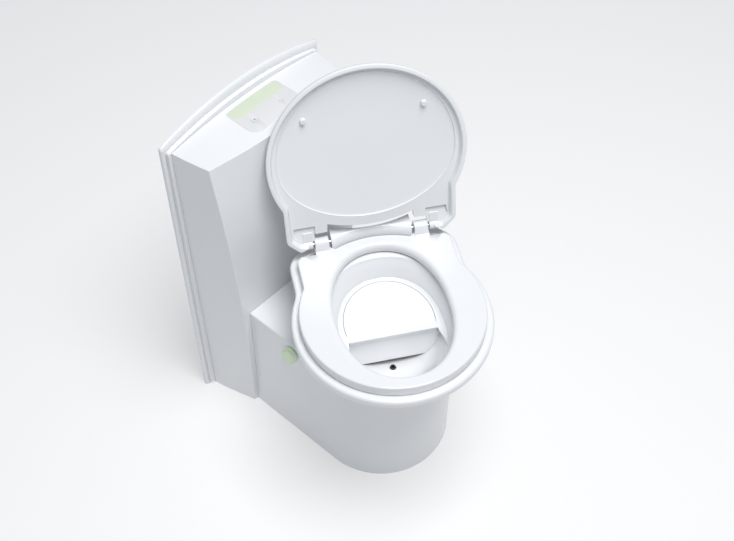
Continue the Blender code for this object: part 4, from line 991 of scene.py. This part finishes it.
def ear_pocket(side):
    """The hollow inside the lid's ear, whose floor slopes up to the rear."""
    plan = [(0.1090, 0.055), (0.1500, 0.055), (0.1530, 0.0735), (0.1320, 0.0960), (0.1090, 0.0960)]
    below = [(side * x, y, 0.4800) for x, y in plan]
    ceiling = [(side * x, y, 0.5056 - 0.0060 * (y - 0.055) / 0.041) for x, y in plan]
    return loft("ear_pocket", [below, ceiling], WHITE)


def lid_cutout():
    """What the lid leaves free round the hinge block and the seat's knuckles."""
    outline = [(-0.1450, 0.13), (-0.1450, 0.1056), (-0.1114, 0.0885), (-0.1110, 0.0735), (-0.0860, 0.0725)]
    for i in range(25):
        x = -0.0850 + 0.1700 * i / 24
        outline.append((x, 0.0695 - 0.0145 * (abs(x) / 0.085) ** 2))
    outline += [(0.0860, 0.0725), (0.1110, 0.0735), (0.1114, 0.0885), (0.1450, 0.1056), (0.1450, 0.13)]
    return prism("lid_cutout", outline, 0.44, 0.56, WHITE)


# ---------------------------------------------------------------- pieces that keep the CAD's shape
def refined(node, body, material, slot, width=0.0006, segments=2):
    """The CAD node's own form with rounded edges and a finished material."""
    bm = bmesh.new()
    bm.from_mesh(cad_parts[node].data)
    bmesh.ops.remove_doubles(bm, verts=bm.verts, dist=1e-6)
    bmesh.ops.dissolve_limit(bm, angle_limit=math.radians(0.5), verts=bm.verts, edges=bm.edges)
    made = piece(f"{node}_finished", bm, material)
    rounded(made, width, segments, 40)
    return stands_for(made, body, slot, node)


REFINED = (  # body, material, slot, bevel width, nodes
    ("housing", DARK, "dark_plastic", 0.0005, ("floor_pan", "swivel_track", "flush_pump", "knob_bush")),
    ("housing", STEEL, "steel", 0.0003, tuple(f"floor_screw_{i}" for i in range(1, 5))),
    ("housing", BOARD, "board_green", 0.0002, ("control_board",)),
    ("housing", TANK, "tank_plastic", 0.0020, ("flush_tank",)),
    ("housing", RUBBER, "rubber", 0.0003, ("flush_hose",)),
    ("housing", WHITE, "white_plastic", 0.0006, ("water_inlet", "drive_bracket")),
    ("bowl", DARK, "dark_plastic", 0.0005, ("swivel_ring",)),
    ("knob", STEEL, "steel", 0.0003, ("knob_shaft",)),
    ("knob", DARK, "dark_plastic", 0.0002, ("knob_pinion",)),
    ("drive", DARK, "dark_plastic", 0.0002, ("spindle_gear",)),
    ("drive", STEEL, "steel", 0.0002, ("drive_spindle",)),
    ("filler", GREEN, "green_plastic", 0.0008, ("filler_cap",)),
    ("latch", GREEN, "green_plastic", 0.0008, ("cassette_latch",)),
    ("cassette", TANK, "tank_plastic", 0.0020, ("waste_tank",)),
    ("cassette", TANK, "tank_plastic", 0.0006, ("valve_tray", "valve_cover")),
    ("cassette", STEEL, "steel", 0.0003, ("wheel_axle",)),
    ("cassette", RUBBER, "rubber", 0.0004, ("lip_seal",)),
    ("blade", DARK, "dark_plastic", 0.0004, ("valve_blade",)),
    ("wheel_l", RUBBER, "rubber", 0.0010, ("wheel_left",)),
    ("wheel_r", RUBBER, "rubber", 0.0010, ("wheel_right",)),
    ("spout", TANK, "tank_plastic", 0.0008, ("pouring_spout",)),
    ("cap", GREEN, "green_plastic", 0.0008, ("spout_cap",)),
    ("vent", GREEN, "green_plastic", 0.0006, ("vent_button",)),
    ("handle", GREEN, "green_plastic", 0.0012, ("carrying_handle",)),
    ("puller", DARK, "dark_plastic", 0.0010, ("pull_handle",)),
)


# ---------------------------------------------------------------- the studio
def floor():
    bm = bmesh.new()
    bmesh.ops.create_grid(bm, x_segments=2, y_segments=2, size=6)
    made = piece("studio_floor", bm, studio_white())


def studio_white():
    """Pale paper, lit a little from below as on a light table, so that only a faint shadow shows."""
    made = bpy.data.materials.new("studio_white")
    made.use_nodes = True
    shader = made.node_tree.nodes["Principled BSDF"]
    shader.inputs["Base Color"].default_value = (0.55, 0.55, 0.55, 1)
    shader.inputs["Roughness"].default_value = 1.0
    shader.inputs["Specular IOR Level"].default_value = 0.0
    shader.inputs["Emission Color"].default_value = (1, 1, 1, 1)
    shader.inputs["Emission Strength"].default_value = 0.45
    return made


def area_light(name, place, target, size, power):
    lamp = bpy.data.lights.new(name, "AREA")
    lamp.shape = "RECTANGLE"
    lamp.size, lamp.size_y = size
    lamp.energy = power
    made = bpy.data.objects.new(name, lamp)
    bpy.context.collection.objects.link(made)
    made.location = place
    made.rotation_euler = (Vector(target) - Vector(place)).to_track_quat("-Z", "Y").to_euler()


def studio():
    floor()
    world = bpy.data.worlds.new("studio")
    bpy.context.scene.world = world
    world.use_nodes = True
    world.node_tree.nodes["Background"].inputs["Color"].default_value = (0.80, 0.90, 1.0, 1)
    world.node_tree.nodes["Background"].inputs["Strength"].default_value = 0.27
    area_light("overhead", (-0.15, -0.70, 3.35), (0, 0.05, 0.3), (1.5, 1.5), 86)
    bpy.context.scene.view_settings.view_transform = "Standard"


def camera():
    lens = bpy.data.cameras.new("photo_camera")
    lens.lens = CAMERA_LENS
    lens.sensor_width = 36.0
    lens.clip_end = 50
    made = bpy.data.objects.new("photo_camera", lens)
    bpy.context.collection.objects.link(made)
    made.location = CAMERA_AT
    made.rotation_euler = (math.pi / 2 - CAMERA_ELEVATION, 0, CAMERA_AZIMUTH)
    bpy.context.scene.camera = made


def main():
    camera()
    studio()
    wall_flange()
    rear_housing()
    console()
    pedestal()
    knob()
    bowl_liner()
    bowl_skin()
    shelf()
    flush_jet()
    hinge_block()
    hinge_hardware()
    seat()
    lid()
    for body, material, slot, width, nodes in REFINED:
        for node in nodes:
            refined(node, body, material, slot, width)


main()
